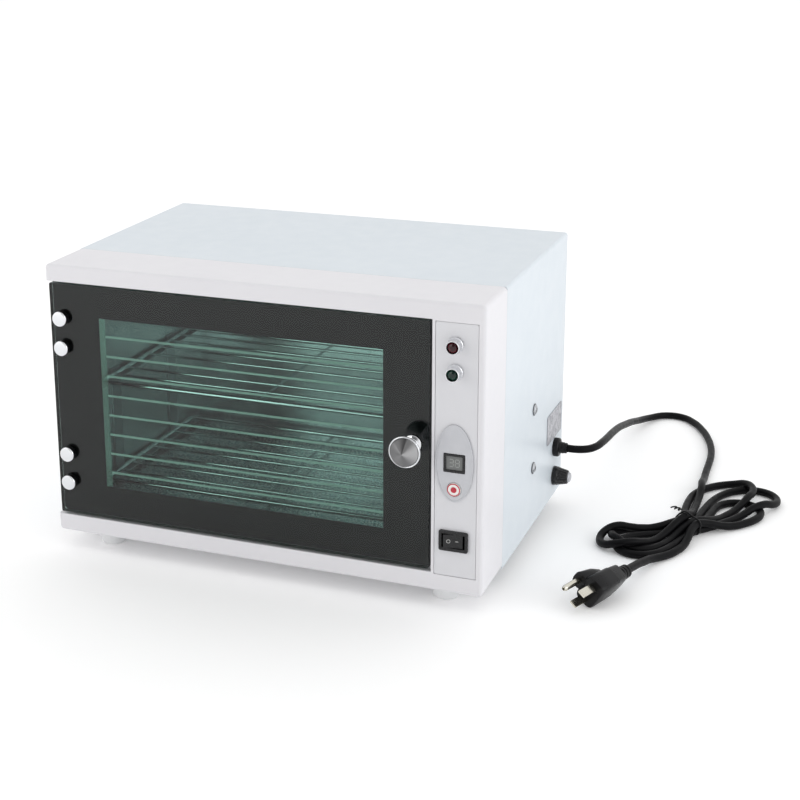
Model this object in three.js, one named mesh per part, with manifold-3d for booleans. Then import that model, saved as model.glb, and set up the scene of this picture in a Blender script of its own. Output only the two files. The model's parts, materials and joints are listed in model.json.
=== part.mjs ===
// Bench-top UV cabinet for hair salon tools: sheet steel case, moulded front,
// tinted glass door on two hinges, control column, two wire racks and a mains lead.
// Millimetres. X runs left to right, Y from front to back, Z up.
import * as THREE from 'three';
import { mergeVertices } from 'three/addons/utils/BufferGeometryUtils.js';
import Module from 'manifold-3d';

const wasm = await Module();
wasm.setup();

// ---------------------------------------------------------------- driving dimensions
const CASE_W = 360;
const CASE_D = 238;
const CASE_H = 225;
const FOOT_H = 15;
const FOOT_INSET = 36;
const BEZEL_D = 54;
const BEZEL_WALL = 3;
const BEZEL_FRONT = 15;
const EDGE_ROUND = 2.6;
const SHEET = 1;
const GAP = 0.3;

// door: left, right, bottom and top edges of the glass, then its front and back
const GLASS = { x0: 3, x1: 318.2, z0: 16.6, z1: 210, y0: 0.5, y1: 5.5 };
const RECESS = { x1: 320, z0: 14.6, z1: 211.5, depth: 6.5 };
const HINGE_REBATE = { x: 3, depth: 12.2 };
const WINDOW = { x0: 43.2, x1: 280.4, z0: 41.6, z1: 182.8 };
const FILM = { y0: 5.6, y1: 5.9 };
const STRIPE = { count: 8, pitch: 16.3, top: 168.4, height: 1.8, band: 5 };

// hinges: pin axis, heights of the two hinge centres, cap screw offsets
const HINGE_X = 4;
const HINGE_Y = 9;
const HINGE_Z = { upper: 170, lower: 56.5 };
const HINGE_HALF = 20;
const DOOR_KNUCKLE = 7;
const KNUCKLE_R = 2.5;
const PIN_R = 1;
const PIN_BORE_R = 1.3;
const CAP_X = 13.6;
const CAP_OFFSET = 12.1;

const KNOB = { x: 305.4, z: 114.7 };
const CATCH = { x0: 307, x1: 317, z0: 140, z1: 160, strikeBack: 7.4, magnetFront: 7.9, magnetBack: 13 };

// chamber: the mouth in the front, and the lining behind it
const CHAMBER = { x0: 20, x1: 306, z0: 26, z1: 202, back: 206, sheet: 1.2, flange: 8 };
const RACK = { front: 40, pitch: 20, bays: 8, frameR: 2, wireR: 1.2, upperZ: 118, lowerZ: 33 };
const LAMP_TUBE = { y: 120, z: 190, r: 8, x0: 57, x1: 269 };

// control column
const PANEL = { x0: 322.5, x1: 354.5, z0: 13.8, z1: 210.2, y0: 0.3, y1: 2.8 };
const PANEL_X = 337.6;
const COLUMN_OPENING = { x0: 325.5, x1: 351.5, z0: 18, z1: 206 };
const LAMP_Z = { red: 194, green: 173.5 };
const FASCIA = { z: 103.5, rx: 14.6, rz: 30 };
const DISPLAY = { z: 103.8, w: 16, h: 14.2 };
const BUTTON = { z: 83.4, r: 5.2 };
const SWITCH = { z: 42.4, w: 22.4, h: 16 };
const ROCKER_TILT = THREE.MathUtils.degToRad(8);

// vent slots in the back: each group's left edge, slots in a group, pitch and slot size
const VENT = { starts: [56, 232], count: 10, pitch: 8, slot: 3.2, z0: 148, z1: 186 };

// right side
const SIDE_SCREW_Y = 141;
const SIDE_SCREW_Z = { upper: 101, lower: 51 };
const OUTLET_Y = 212;
const GLAND_Z = 44;
const FUSE_Z = 18;

// mains lead, tied hank and plug
const CORD_R = 3.25;
const FLOOR = -FOOT_H;
const LEAD_ROUTE = [
  [371.6, 212, 44], [379, 212.6, 43.9], [387, 216.8, 43.6], [392.4, 226.5, 43],
  [394.6, 242, 41.8], [394.8, 262, 39], [393.2, 290, 33.5], [391, 330, 24.5],
  [389, 372, 13], [388, 408, 3], [389.3, 438, -5.5], [395.5, 462, -10.2],
  [408, 478, -11.6], [423.5, 478.5, -11.6], [437.5, 466.5, -11.6], [448.5, 448.5, -11.6],
  [457.1, 428, -11.6], [463.7, 404.9, -11.6], [467.5, 381.4, -11.6], [468.9, 358.6, -11.6],
  [469.8, 336.2, -11.6], [470.9, 318, -11.2], [471.75, 308.9, -10.1],
];
const TAIL_ROUTE = [
  [457.9, 129.1, -8.9], [456, 122.3, -7.8], [454.2, 115.6, -6.4],
  [452.1, 105.5, -4.6], [450.3, 95.3, -2.75], [449.3, 89.4, -1.95],
];

// the hank's outline, along its length and across it from its middle, and the tie at its waist
const HANK = { x: 476, y: 225.5, heading: [0.487, 0.873], height: 16 };
const HANK_EDGE = [
  [-103, -6], [-101, -17], [-94, -27], [-86, -31], [-57, -30], [-48, -27.5], [-33, -17.5], [-23, -7.5],
  [-17, -4], [-9, -9.5], [-1, -16.5], [15, -25.5], [31, -34], [47, -40], [58, -43.5], [67.7, -46.6],
  [71.8, -40.6], [79, -39.5], [88, -36.5], [96, -31], [101, -22], [103.5, -12], [103.5, 10], [97, 22],
  [88, 28.5], [72, 29.5], [63, 32.5], [55, 36], [39, 37.5], [23, 36], [7, 33], [-9, 27.5],
  [-17, 22], [-25, 26], [-33, 31], [-46, 36], [-58, 36], [-70, 34.8], [-91, 34.4], [-92.4, 27.4],
  [-98, 21.5], [-102, 12],
];
const TIE = { u: -17, v: 9, reach: 15.5, width: 3 };
const PLUG = { entry: [449, 88.5, -1.9], heading: [-0.36, -0.933], roll: 34, face: 50, front: 14 };
const BLADE = { spread: 12.7, thick: 1.5, wide: 6.4, length: 16 };
const GROUND = { offset: 11.9, r: 2.4 };

// the row frame's origin, seen from the case's front bottom left corner
const ORIGIN = new THREE.Vector3(187.7, 106.5, FLOOR);

// ---------------------------------------------------------------- solids
function welded(geometry) {
  const copy = geometry.clone();
  copy.deleteAttribute('normal');
  copy.deleteAttribute('uv');
  return mergeVertices(copy, 1e-4);
}

function toManifold(geometry) {
  const solid = welded(geometry);
  return new wasm.Manifold(new wasm.Mesh({
    numProp: 3,
    vertProperties: new Float32Array(solid.attributes.position.array),
    triVerts: new Uint32Array(solid.index.array),
  }));
}

function fromManifold(manifold) {
  const mesh = manifold.getMesh();
  const geometry = new THREE.BufferGeometry();
  geometry.setAttribute('position', new THREE.BufferAttribute(new Float32Array(mesh.vertProperties), 3));
  geometry.setIndex(new THREE.BufferAttribute(new Uint32Array(mesh.triVerts), 1));
  return geometry;
}

function join(...parts) {
  return fromManifold(parts.map(toManifold).reduce((sum, next) => sum.add(next)));
}

function cut(base, ...tools) {
  return fromManifold(tools.map(toManifold).reduce((sum, next) => sum.subtract(next), toManifold(base)));
}

function box(x0, x1, y0, y1, z0, z1) {
  const geometry = new THREE.BoxGeometry(x1 - x0, y1 - y0, z1 - z0);
  return geometry.translate((x0 + x1) / 2, (y0 + y1) / 2, (z0 + z1) / 2);
}

// an outline drawn in X and Z, given thickness from y0 to y1
function plateXZ(shape, y0, y1, options = {}) {
  const settings = { depth: y1 - y0, bevelEnabled: false, curveSegments: 7, ...options };
  return new THREE.ExtrudeGeometry(shape, settings).rotateX(Math.PI / 2).translate(0, y1, 0);
}

// an outline drawn in X and Y, given thickness from z0 to z1
function plateXY(shape, z0, z1, options = {}) {
  const settings = { depth: z1 - z0, bevelEnabled: false, curveSegments: 12, ...options };
  return new THREE.ExtrudeGeometry(shape, settings).translate(0, 0, z0);
}

function rectangle(x0, x1, y0, y1, r = 0) {
  const shape = new THREE.Shape();
  if (r === 0) {
    return shape.moveTo(x0, y0).lineTo(x1, y0).lineTo(x1, y1).lineTo(x0, y1).closePath();
  }
  const quarter = Math.PI / 2;
  shape.moveTo(x0 + r, y0);
  shape.lineTo(x1 - r, y0).absarc(x1 - r, y0 + r, r, -quarter, 0);
  shape.lineTo(x1, y1 - r).absarc(x1 - r, y1 - r, r, 0, quarter);
  shape.lineTo(x0 + r, y1).absarc(x0 + r, y1 - r, r, quarter, Math.PI);
  shape.lineTo(x0, y0 + r).absarc(x0 + r, y0 + r, r, Math.PI, 3 * quarter);
  return shape;
}

function disc(x, y, r) {
  return new THREE.Shape().absarc(x, y, r, 0, 2 * Math.PI);
}

function withHoles(shape, ...holes) {
  shape.holes.push(...holes);
  return shape;
}

// turns a solid made about +Y so that +Y points along the given direction
function aim(geometry, direction) {
  const to = new THREE.Vector3(...direction).normalize();
  const turn = new THREE.Quaternion().setFromUnitVectors(new THREE.Vector3(0, 1, 0), to);
  return geometry.applyQuaternion(turn);
}

function rod(from, to, r, sides = 12) {
  const a = new THREE.Vector3(...from);
  const b = new THREE.Vector3(...to);
  const along = b.clone().sub(a);
  const geometry = aim(new THREE.CylinderGeometry(r, r, along.length(), sides), along.toArray());
  return geometry.translate((a.x + b.x) / 2, (a.y + b.y) / 2, (a.z + b.z) / 2);
}

// a lathe profile of [radius, distance along the axis] pairs, starting and ending on the axis
function turned(profile, base, direction, sides = 32) {
  const points = profile.map(([r, h]) => new THREE.Vector2(r, h));
  return aim(new THREE.LatheGeometry(points, sides), direction).translate(...base);
}

// a ring or sleeve: the profile closes on itself
function sleeve(outer, inner, length, base, direction, sides = 32) {
  const profile = [[inner, 0], [outer, 0], [outer, length], [inner, length], [inner, 0]];
  return turned(profile, base, direction, sides);
}

function tube(curve, r, steps, sides) {
  const section = new THREE.Shape();
  for (let i = 0; i < sides; i += 1) {
    const angle = (2 * Math.PI * i) / sides;
    const corner = [r * Math.cos(angle), r * Math.sin(angle)];
    if (i === 0) section.moveTo(...corner);
    else section.lineTo(...corner);
  }
  return new THREE.ExtrudeGeometry(section, { steps, bevelEnabled: false, extrudePath: curve });
}

function routeCurve(route) {
  return new THREE.CatmullRomCurve3(route.map((point) => new THREE.Vector3(...point)), false, 'centripetal');
}

// ---------------------------------------------------------------- case
function outerShell() {
  const outline = rectangle(0, CASE_W, -10, CASE_H, EDGE_ROUND);
  const inner = rectangle(SHEET, CASE_W - SHEET, -10 - EDGE_ROUND, CASE_H - SHEET, EDGE_ROUND - SHEET);
  const front = BEZEL_D + GAP;
  const skin = cut(plateXZ(outline, front, CASE_D), plateXZ(inner, front - 1, CASE_D + 1));
  const sideHole = (z, r) => rod([CASE_W - 5, OUTLET_Y, z], [CASE_W + 5, OUTLET_Y, z], r, 24);
  const screwHole = (z) => rod([CASE_W - 5, SIDE_SCREW_Y, z], [CASE_W + 5, SIDE_SCREW_Y, z], 2.3, 16);
  const below = box(-1, CASE_W + 1, 0, CASE_D + 2, -20, 0);
  return cut(skin, below, sideHole(GLAND_Z, 6.4), sideHole(FUSE_Z, 6.4),
    screwHole(SIDE_SCREW_Z.upper), screwHole(SIDE_SCREW_Z.lower));
}

function basePan() {
  const side = SHEET + GAP;
  const front = BEZEL_D + GAP;
  const back = CASE_D - 3;
  const flange = 9;
  const floor = box(side, CASE_W - side, front, back, 0, 1.2);
  const left = box(side, side + 1.2, front, back, 0, flange);
  const right = box(CASE_W - side - 1.2, CASE_W - side, front, back, 0, flange);
  const rear = box(side, CASE_W - side, back - 1.2, back, 0, flange);
  return join(floor, left, right, rear);
}

function rearPanel() {
  const side = SHEET + GAP;
  const outline = rectangle(side, CASE_W - side, 1, CASE_H - side, 1.5);
  const slots = [];
  for (let column = 0; column < VENT.count; column += 1) {
    for (const x of VENT.starts) {
      const left = x + column * VENT.pitch;
      slots.push(rectangle(left, left + VENT.slot, VENT.z0, VENT.z1, 1.5));
    }
  }
  return plateXZ(withHoles(outline, ...slots), CASE_D - 2.7, CASE_D - 1.5, { curveSegments: 2 });
}

function frontBezel() {
  const b = EDGE_ROUND;
  const face = rectangle(b, CASE_W - b, b, CASE_H - b, 1);
  const bevel = { bevelEnabled: true, bevelThickness: b, bevelSize: b, bevelSegments: 4, curveSegments: 4 };
  const block = plateXZ(face, b, BEZEL_D + 20, bevel);
  const tools = [
    box(-1, CASE_W + 1, BEZEL_D, BEZEL_D + 40, -1, CASE_H + 1),
    box(BEZEL_WALL, CASE_W - BEZEL_WALL, BEZEL_FRONT, BEZEL_D + 2, BEZEL_WALL, CASE_H - BEZEL_WALL),
    box(-2, RECESS.x1, -2, RECESS.depth, RECESS.z0, RECESS.z1),
    box(-2, HINGE_REBATE.x, -2, HINGE_REBATE.depth, RECESS.z0, RECESS.z1),
    box(CHAMBER.x0, CHAMBER.x1, -2, BEZEL_FRONT + 2, CHAMBER.z0, CHAMBER.z1),
    box(PANEL.x0 - GAP, PANEL.x1 + GAP, -2, PANEL.y1 + GAP, PANEL.z0 - GAP, PANEL.z1 + GAP),
    box(COLUMN_OPENING.x0, COLUMN_OPENING.x1, -2, BEZEL_FRONT + 2, COLUMN_OPENING.z0, COLUMN_OPENING.z1),
    box(CATCH.x0 - GAP, CATCH.x1 + GAP, 0, CATCH.magnetBack + GAP, CATCH.z0 - GAP, CATCH.z1 + GAP),
    box(KNOB.x - 5.4, KNOB.x + 5.4, 0, 9.8, KNOB.z - 6, KNOB.z + 6),
  ];
  for (const z of Object.values(HINGE_Z)) {
    tools.push(box(-2, CHAMBER.x0 + 2, 0, 11.9, z - HINGE_HALF - 0.6, z + HINGE_HALF + 0.6));
  }
  return cut(block, ...tools);
}

function innerChamber() {
  const { x0, x1, z0, z1, back, sheet, flange } = CHAMBER;
  const front = BEZEL_FRONT + GAP;
  const tray = box(x0 - sheet, x1 + sheet, front, back + sheet, z0 - sheet, z1 + sheet);
  const lip = box(x0 - flange, x1 + flange, front, front + sheet, z0 - flange, z1 + flange);
  return cut(join(tray, lip), box(x0, x1, front - 2, back, z0, z1));
}

function foot(x, y) {
  const profile = [[0, 0], [8.5, 0], [9.6, 0.5], [10, 1.6], [11, FOOT_H - GAP], [0, FOOT_H - GAP]];
  return turned(profile, [x, y, FLOOR], [0, 0, 1], 28);
}

// ---------------------------------------------------------------- door
function doorGlass() {
  const { x0, x1, z0, z1, y0, y1 } = GLASS;
  const holes = capCentres().map(([x, z]) => disc(x, z, 2.5));
  holes.push(disc(KNOB.x, KNOB.z, 2.5));
  return plateXZ(withHoles(rectangle(x0, x1, z0, z1, 1.5), ...holes), y0, y1);
}

function capCentres() {
  return Object.values(HINGE_Z).flatMap((z) => [[CAP_X, z + CAP_OFFSET], [CAP_X, z - CAP_OFFSET]]);
}

function doorBorder() {
  const outline = rectangle(GLASS.x0 + GAP, GLASS.x1 - GAP, GLASS.z0 + GAP, GLASS.z1 - GAP, 1.5);
  const holes = capCentres().map(([x, z]) => disc(x, z, 2.5));
  holes.push(disc(KNOB.x, KNOB.z, 2.5), rectangle(WINDOW.x0, WINDOW.x1, WINDOW.z0, WINDOW.z1));
  return plateXZ(withHoles(outline, ...holes), FILM.y0, FILM.y1);
}

// eight level stripes that spring from one upright band at the window's left edge
function windowStripes() {
  const left = WINDOW.x0 + GAP;
  const right = WINDOW.x1 - GAP;
  const bandEdge = left + STRIPE.band;
  const shape = new THREE.Shape().moveTo(left, WINDOW.z0 + GAP).lineTo(bandEdge, WINDOW.z0 + GAP);
  for (let i = STRIPE.count - 1; i >= 0; i -= 1) {
    const middle = STRIPE.top - i * STRIPE.pitch;
    const low = middle - STRIPE.height / 2;
    const high = middle + STRIPE.height / 2;
    shape.lineTo(bandEdge, low).lineTo(right, low).lineTo(right, high).lineTo(bandEdge, high);
  }
  shape.lineTo(bandEdge, WINDOW.z1 - GAP).lineTo(left, WINDOW.z1 - GAP).closePath();
  return plateXZ(shape, FILM.y0, FILM.y1);
}

function knuckle(z0, z1) {
  return sleeve(KNUCKLE_R, PIN_BORE_R, z1 - z0, [HINGE_X, HINGE_Y, z0], [0, 0, 1], 24);
}

// the leaf on the glass, with the middle knuckle
function hingeLeaf(z) {
  const front = HINGE_Y - KNUCKLE_R;
  const plate = box(7, 20, front, front + 1.5, z - HINGE_HALF, z + HINGE_HALF);
  const web = box(HINGE_X, 8, front, front + 1, z - DOOR_KNUCKLE, z + DOOR_KNUCKLE);
  const bore = rod([HINGE_X, HINGE_Y, z - 30], [HINGE_X, HINGE_Y, z + 30], PIN_BORE_R, 24);
  const screwHole = (offset) => rod([CAP_X, 0, z + offset], [CAP_X, 20, z + offset], 2.3, 16);
  const body = join(knuckle(z - DOOR_KNUCKLE, z + DOOR_KNUCKLE), plate, web);
  return cut(body, bore, screwHole(CAP_OFFSET), screwHole(-CAP_OFFSET));
}

// the leaf let into the moulded post, with the two outer knuckles
function hingeBracket(z) {
  const back = HINGE_Y + KNUCKLE_R;
  const inner = DOOR_KNUCKLE + GAP;
  const parts = [box(7, 20, back - 1.3, back, z - HINGE_HALF, z + HINGE_HALF)];
  for (const [low, high] of [[z - HINGE_HALF, z - inner], [z + inner, z + HINGE_HALF]]) {
    parts.push(knuckle(low, high), box(HINGE_X, 8, back - 1, back, low, high));
  }
  const bore = rod([HINGE_X, HINGE_Y, z - 30], [HINGE_X, HINGE_Y, z + 30], PIN_BORE_R, 24);
  const screwHole = (offset) => rod([CAP_X, 0, z + offset], [CAP_X, 20, z + offset], 1.6, 12);
  return cut(join(...parts), bore, screwHole(CAP_OFFSET), screwHole(-CAP_OFFSET));
}

function hingePin(z) {
  return rod([HINGE_X, HINGE_Y, z - HINGE_HALF], [HINGE_X, HINGE_Y, z + HINGE_HALF], PIN_R, 24);
}

// domed cap with a shank through the glass into the hinge leaf
function hingeCap(z) {
  const profile = [[0, 0], [2, 0], [2, 7.6], [6.2, 7.6], [6.2, 12.2], [5.6, 13], [0, 13.3]];
  return turned(profile, [CAP_X, 7.8, z], [0, -1, 0], 28);
}

function doorKnob() {
  const profile = [[0, 0], [7, 0], [7, 1.4], [4.6, 2.6], [3.8, 6], [4.2, 10], [8.5, 14.6],
    [11.6, 16.8], [12.2, 18.2], [11.8, 19.6], [0, 25.2]];
  const base = [KNOB.x, GLASS.y0 - GAP, KNOB.z];
  return cut(turned(profile, base, [0, -1, 0], 40),
    rod([KNOB.x, 2, KNOB.z], [KNOB.x, -10, KNOB.z], 2.3, 20));
}

function knobScrew() {
  const profile = [[0, 0], [4.2, 0], [4.5, 0.4], [4.5, 2.2], [2, 2.2], [2, 17.5], [0, 17.5]];
  return turned(profile, [KNOB.x, FILM.y1 + GAP + 2.2, KNOB.z], [0, -1, 0], 24);
}

// ---------------------------------------------------------------- racks and lamp
function rackFrame(z) {
  const left = CHAMBER.x0 + 4;
  const right = CHAMBER.x1 - 4;
  const rear = RACK.front + RACK.pitch * RACK.bays;
  const middle = (left + right) / 2;
  const lower = z - RACK.frameR + RACK.wireR;
  const parts = [
    rod([left, RACK.front, z], [right, RACK.front, z], RACK.frameR, 10),
    rod([left, rear, z], [right, rear, z], RACK.frameR, 10),
    rod([left, RACK.front, z], [left, rear, z], RACK.frameR, 10),
    rod([right, RACK.front, z], [right, rear, z], RACK.frameR, 10),
    rod([middle, RACK.front, lower], [middle, rear, lower], RACK.wireR, 8),
  ];
  for (const x of [left, right]) {
    for (const y of [RACK.front, rear]) {
      parts.push(new THREE.SphereGeometry(RACK.frameR, 10, 8).translate(x, y, z));
    }
  }
  for (let i = 1; i < RACK.bays; i += 1) {
    const y = RACK.front + i * RACK.pitch;
    parts.push(rod([left, y, z], [right, y, z], RACK.wireR, 8));
  }
  return join(...parts);
}

// two ledges under the racks' side rods, held by two uprights
function rackRails(side) {
  const wall = side === 'left' ? CHAMBER.x0 + GAP : CHAMBER.x1 - GAP;
  const inward = side === 'left' ? 1 : -1;
  const slab = (reach, y0, y1, z0, z1) => {
    const ends = [wall, wall + inward * reach].sort((a, b) => a - b);
    return box(...ends, y0, y1, z0, z1);
  };
  const parts = [];
  for (const z of [RACK.upperZ, RACK.lowerZ]) {
    const top = z - RACK.frameR - GAP;
    parts.push(slab(9, BEZEL_FRONT + 3, CHAMBER.back - 2, top - 1.2, top));
  }
  for (const y of [60, 160]) {
    parts.push(slab(1.2, y, y + 14, CHAMBER.z0 + 1, RACK.upperZ + 4));
  }
  return join(...parts);
}

function uvTube() {
  const { x0, x1, y, z, r } = LAMP_TUBE;
  const length = x1 - x0;
  const profile = [[0, 0], [r, 0.5], [r, 11], [r - 0.5, 11.5], [r - 0.5, length - 11.5],
    [r, length - 11], [r, length - 0.5], [0, length]];
  const parts = [turned(profile, [x0, y, z], [1, 0, 0], 24)];
  for (const offset of [-2.4, 2.4]) {
    parts.push(rod([x0 - 5.5, y + offset, z], [x1 + 5.5, y + offset, z], 1.1, 8));
  }
  return join(...parts);
}

function lampHolder(side) {
  const { x0, x1, y, z } = LAMP_TUBE;
  const inner = side === 'left' ? x0 - GAP : x1 + GAP;
  const outer = side === 'left' ? inner - 12 : inner + 12;
  const [a, b] = [inner, outer].sort((p, q) => p - q);
  const block = box(a, b, y - 10, y + 10, z - 10, CHAMBER.z1 - GAP);
  const pocket = side === 'left' ? box(b - 7, b + 1, y - 5, y + 5, z - 2.5, z + 2.5)
    : box(a - 1, a + 7, y - 5, y + 5, z - 2.5, z + 2.5);
  return cut(block, pocket);
}

// ---------------------------------------------------------------- control column
function controlPanel() {
  const { x0, x1, z0, z1, y0, y1 } = PANEL;
  const half = { w: DISPLAY.w / 2 + GAP, h: DISPLAY.h / 2 + GAP };
  const holes = [
    disc(PANEL_X, LAMP_Z.red, 4.5),
    disc(PANEL_X, LAMP_Z.green, 4.5),
    rectangle(PANEL_X - half.w, PANEL_X + half.w, DISPLAY.z - half.h, DISPLAY.z + half.h),
    disc(PANEL_X, BUTTON.z, BUTTON.r + 0.4),
    rectangle(PANEL_X - 10.6, PANEL_X + 10.6, SWITCH.z - 6.9, SWITCH.z + 6.9),
  ];
  return plateXZ(withHoles(rectangle(x0, x1, z0, z1, 1), ...holes), y0, y1);
}

function ovalFascia() {
  const half = { w: DISPLAY.w / 2 + GAP, h: DISPLAY.h / 2 + GAP };
  const oval = new THREE.Shape().absellipse(PANEL_X, FASCIA.z, FASCIA.rx, FASCIA.rz, 0, 2 * Math.PI);
  const shape = withHoles(oval,
    rectangle(PANEL_X - half.w, PANEL_X + half.w, DISPLAY.z - half.h, DISPLAY.z + half.h),
    disc(PANEL_X, BUTTON.z, BUTTON.r + 0.4));
  return plateXZ(shape, PANEL.y0 - GAP - 0.8, PANEL.y0 - GAP, { curveSegments: 20 });
}

// display block that stands through the panel, on its circuit board
function timerModule() {
  const block = box(PANEL_X - DISPLAY.w / 2, PANEL_X + DISPLAY.w / 2, -1.1, 9,
    DISPLAY.z - DISPLAY.h / 2, DISPLAY.z + DISPLAY.h / 2);
  const board = box(326.5, 350.5, 8.4, 10, BUTTON.z - 14, DISPLAY.z + 22);
  return join(block, board);
}

function timerButton() {
  const r = BUTTON.r;
  const profile = [[0, 0], [2.4, 0], [2.4, 3], [r, 3], [r, 7.4], [r - 0.4, 7.9], [0, 8.2]];
  return turned(profile, [PANEL_X, 6.3, BUTTON.z], [0, -1, 0], 28);
}

function lampRing(z) {
  const profile = [[4.4, 0], [6.2, 0], [6.2, 7.2], [5.2, 8.6], [4.4, 8.6], [4.4, 0]];
  return turned(profile, [PANEL_X, PANEL.y0 - GAP, z], [0, -1, 0], 28);
}

function lampLens(z) {
  const profile = [[0, 0], [4, 0], [4, 20.6], [3.2, 21.8], [0, 22.4]];
  return turned(profile, [PANEL_X, 13, z], [0, -1, 0], 24);
}

function switchHousing() {
  const { z, w, h } = SWITCH;
  const flange = plateXZ(rectangle(PANEL_X - w / 2, PANEL_X + w / 2, z - h / 2, z + h / 2, 1.2), -1.5, 0);
  const body = box(PANEL_X - 10.2, PANEL_X + 10.2, -0.5, 20, z - 6.6, z + 6.6);
  const well = box(PANEL_X - 9, PANEL_X + 9, -3, 12, z - 5.6, z + 5.6);
  return cut(join(flange, body), well);
}

// two finger faces meet in a shallow valley; pivots in the housing about an upright axis
function switchRocker() {
  const outline = new THREE.Shape().moveTo(-7.8, -6.2).lineTo(0, -4.9).lineTo(7.8, -6.2)
    .lineTo(7.4, 0).lineTo(2, 3.2).lineTo(-2, 3.2).lineTo(-7.4, 0).closePath();
  return plateXY(outline, SWITCH.z - 5.2, SWITCH.z + 5.2)
    .rotateZ(ROCKER_TILT).translate(PANEL_X, 4, 0);
}

// ---------------------------------------------------------------- right side fittings
function ballast() {
  const inner = CASE_W - SHEET - GAP;
  const coil = box(inner - 40, inner - 1.5, SIDE_SCREW_Y - 20, SIDE_SCREW_Y + 20, 58, 94);
  const strap = box(inner - 1.5 - 0.5, inner, SIDE_SCREW_Y - 9, SIDE_SCREW_Y + 9, 42, 110);
  const hole = (z) => rod([inner - 8, SIDE_SCREW_Y, z], [inner + 2, SIDE_SCREW_Y, z], 2.3, 16);
  return cut(join(coil, strap), hole(SIDE_SCREW_Z.upper), hole(SIDE_SCREW_Z.lower));
}

function sideScrew(z) {
  const profile = [[0, 0], [1.9, 0], [1.9, 8], [4.2, 8], [3.7, 9.1], [2.4, 9.8], [0, 10.1]];
  return turned(profile, [CASE_W + GAP - 8, SIDE_SCREW_Y, z], [1, 0, 0], 24);
}

function ratingPlate() {
  return box(CASE_W + GAP, CASE_W + GAP + 0.5, 185, 232, 53.5, 79);
}

// bush that grips the lead, with a short tapered nose
function cableGland() {
  const profile = [[0, 0], [5.2, 0], [6, 2], [6, 14], [8, 14], [8, 17.6], [7.2, 18.8], [5.2, 19.2],
    [4.3, 25], [0, 25]];
  return turned(profile, [CASE_W + GAP - 14, OUTLET_Y, GLAND_Z], [1, 0, 0], 32);
}

function fuseHolder() {
  const profile = [[0, 0], [6, 0], [6, 28], [8.2, 28], [8.2, 29.8], [3.1, 29.8], [3.1, 3], [0, 3]];
  return turned(profile, [CASE_W + GAP - 28, OUTLET_Y, FUSE_Z], [1, 0, 0], 32);
}

function fuseNut() {
  const inner = CASE_W - SHEET - GAP;
  const hexagon = rod([inner - 2.6, OUTLET_Y, FUSE_Z], [inner, OUTLET_Y, FUSE_Z], 8.6, 6);
  return cut(hexagon, rod([inner - 4, OUTLET_Y, FUSE_Z], [inner + 1, OUTLET_Y, FUSE_Z], 6.4, 24));
}

function fuseCartridge() {
  return rod([CASE_W - 24, OUTLET_Y, FUSE_Z], [CASE_W - 4, OUTLET_Y, FUSE_Z], 2.5, 16);
}

// ribbed cap that tapers towards a clear domed tip
function fuseCap() {
  const profile = [[0, 0], [2.6, 0], [2.6, 5.4], [7.6, 5.4], [7.4, 9.4], [5.6, 15.6], [4.6, 16],
    [4.4, 17.2], [3, 18.1], [0, 18.4]];
  const base = CASE_W + GAP + 1.8 + GAP - 5.4;
  const ribs = [];
  for (let i = 0; i < 10; i += 1) {
    const angle = (2 * Math.PI * i) / 10;
    const away = (r) => [OUTLET_Y + r * Math.cos(angle), FUSE_Z + r * Math.sin(angle)];
    ribs.push(rod([base + 6.5, ...away(8.1)], [base + 16.5, ...away(6.3)], 0.9, 6));
  }
  return cut(turned(profile, [base, OUTLET_Y, FUSE_Z], [1, 0, 0], 40), ...ribs);
}

// ---------------------------------------------------------------- lead, hank and plug
function hankPoint(u, v) {
  const [hx, hy] = HANK.heading;
  return [HANK.x + u * hx + v * hy, HANK.y + u * hy - v * hx];
}

function cordHank() {
  const corners = HANK_EDGE.map(([u, v]) => new THREE.Vector2(...hankPoint(u, v)));
  return plateXY(new THREE.Shape(corners), FLOOR, FLOOR + HANK.height);
}

// a strap over the hank's waist that reaches down on both sides
function cordTie() {
  const { u, v, reach, width } = TIE;
  const turn = Math.atan2(HANK.heading[1], HANK.heading[0]);
  const top = HANK.height + GAP;
  const strap = cut(box(-width / 2, width / 2, -reach - 1, reach + 1, 5, top + 1),
    box(-width, width, -reach, reach, -1, top));
  return strap.rotateZ(turn).translate(...hankPoint(u, v), FLOOR);
}

function cordLead() {
  return tube(routeCurve(LEAD_ROUTE), CORD_R, 44, 10);
}

function cordTail() {
  return tube(routeCurve(TAIL_ROUTE), CORD_R, 6, 10);
}

// places a solid made with +Y along the plug's axis and +Z towards its ground pin
function seatPlug(geometry) {
  const forward = new THREE.Vector3(...PLUG.heading, 0).normalize();
  const level = new THREE.Vector3(-forward.y, forward.x, 0);
  const roll = THREE.MathUtils.degToRad(PLUG.roll);
  const pinSide = level.clone().multiplyScalar(-Math.cos(roll)).add(new THREE.Vector3(0, 0, Math.sin(roll)));
  const across = forward.clone().cross(pinSide);
  const matrix = new THREE.Matrix4().makeBasis(across, forward, pinSide).setPosition(...PLUG.entry);
  return geometry.applyMatrix4(matrix);
}

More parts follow.
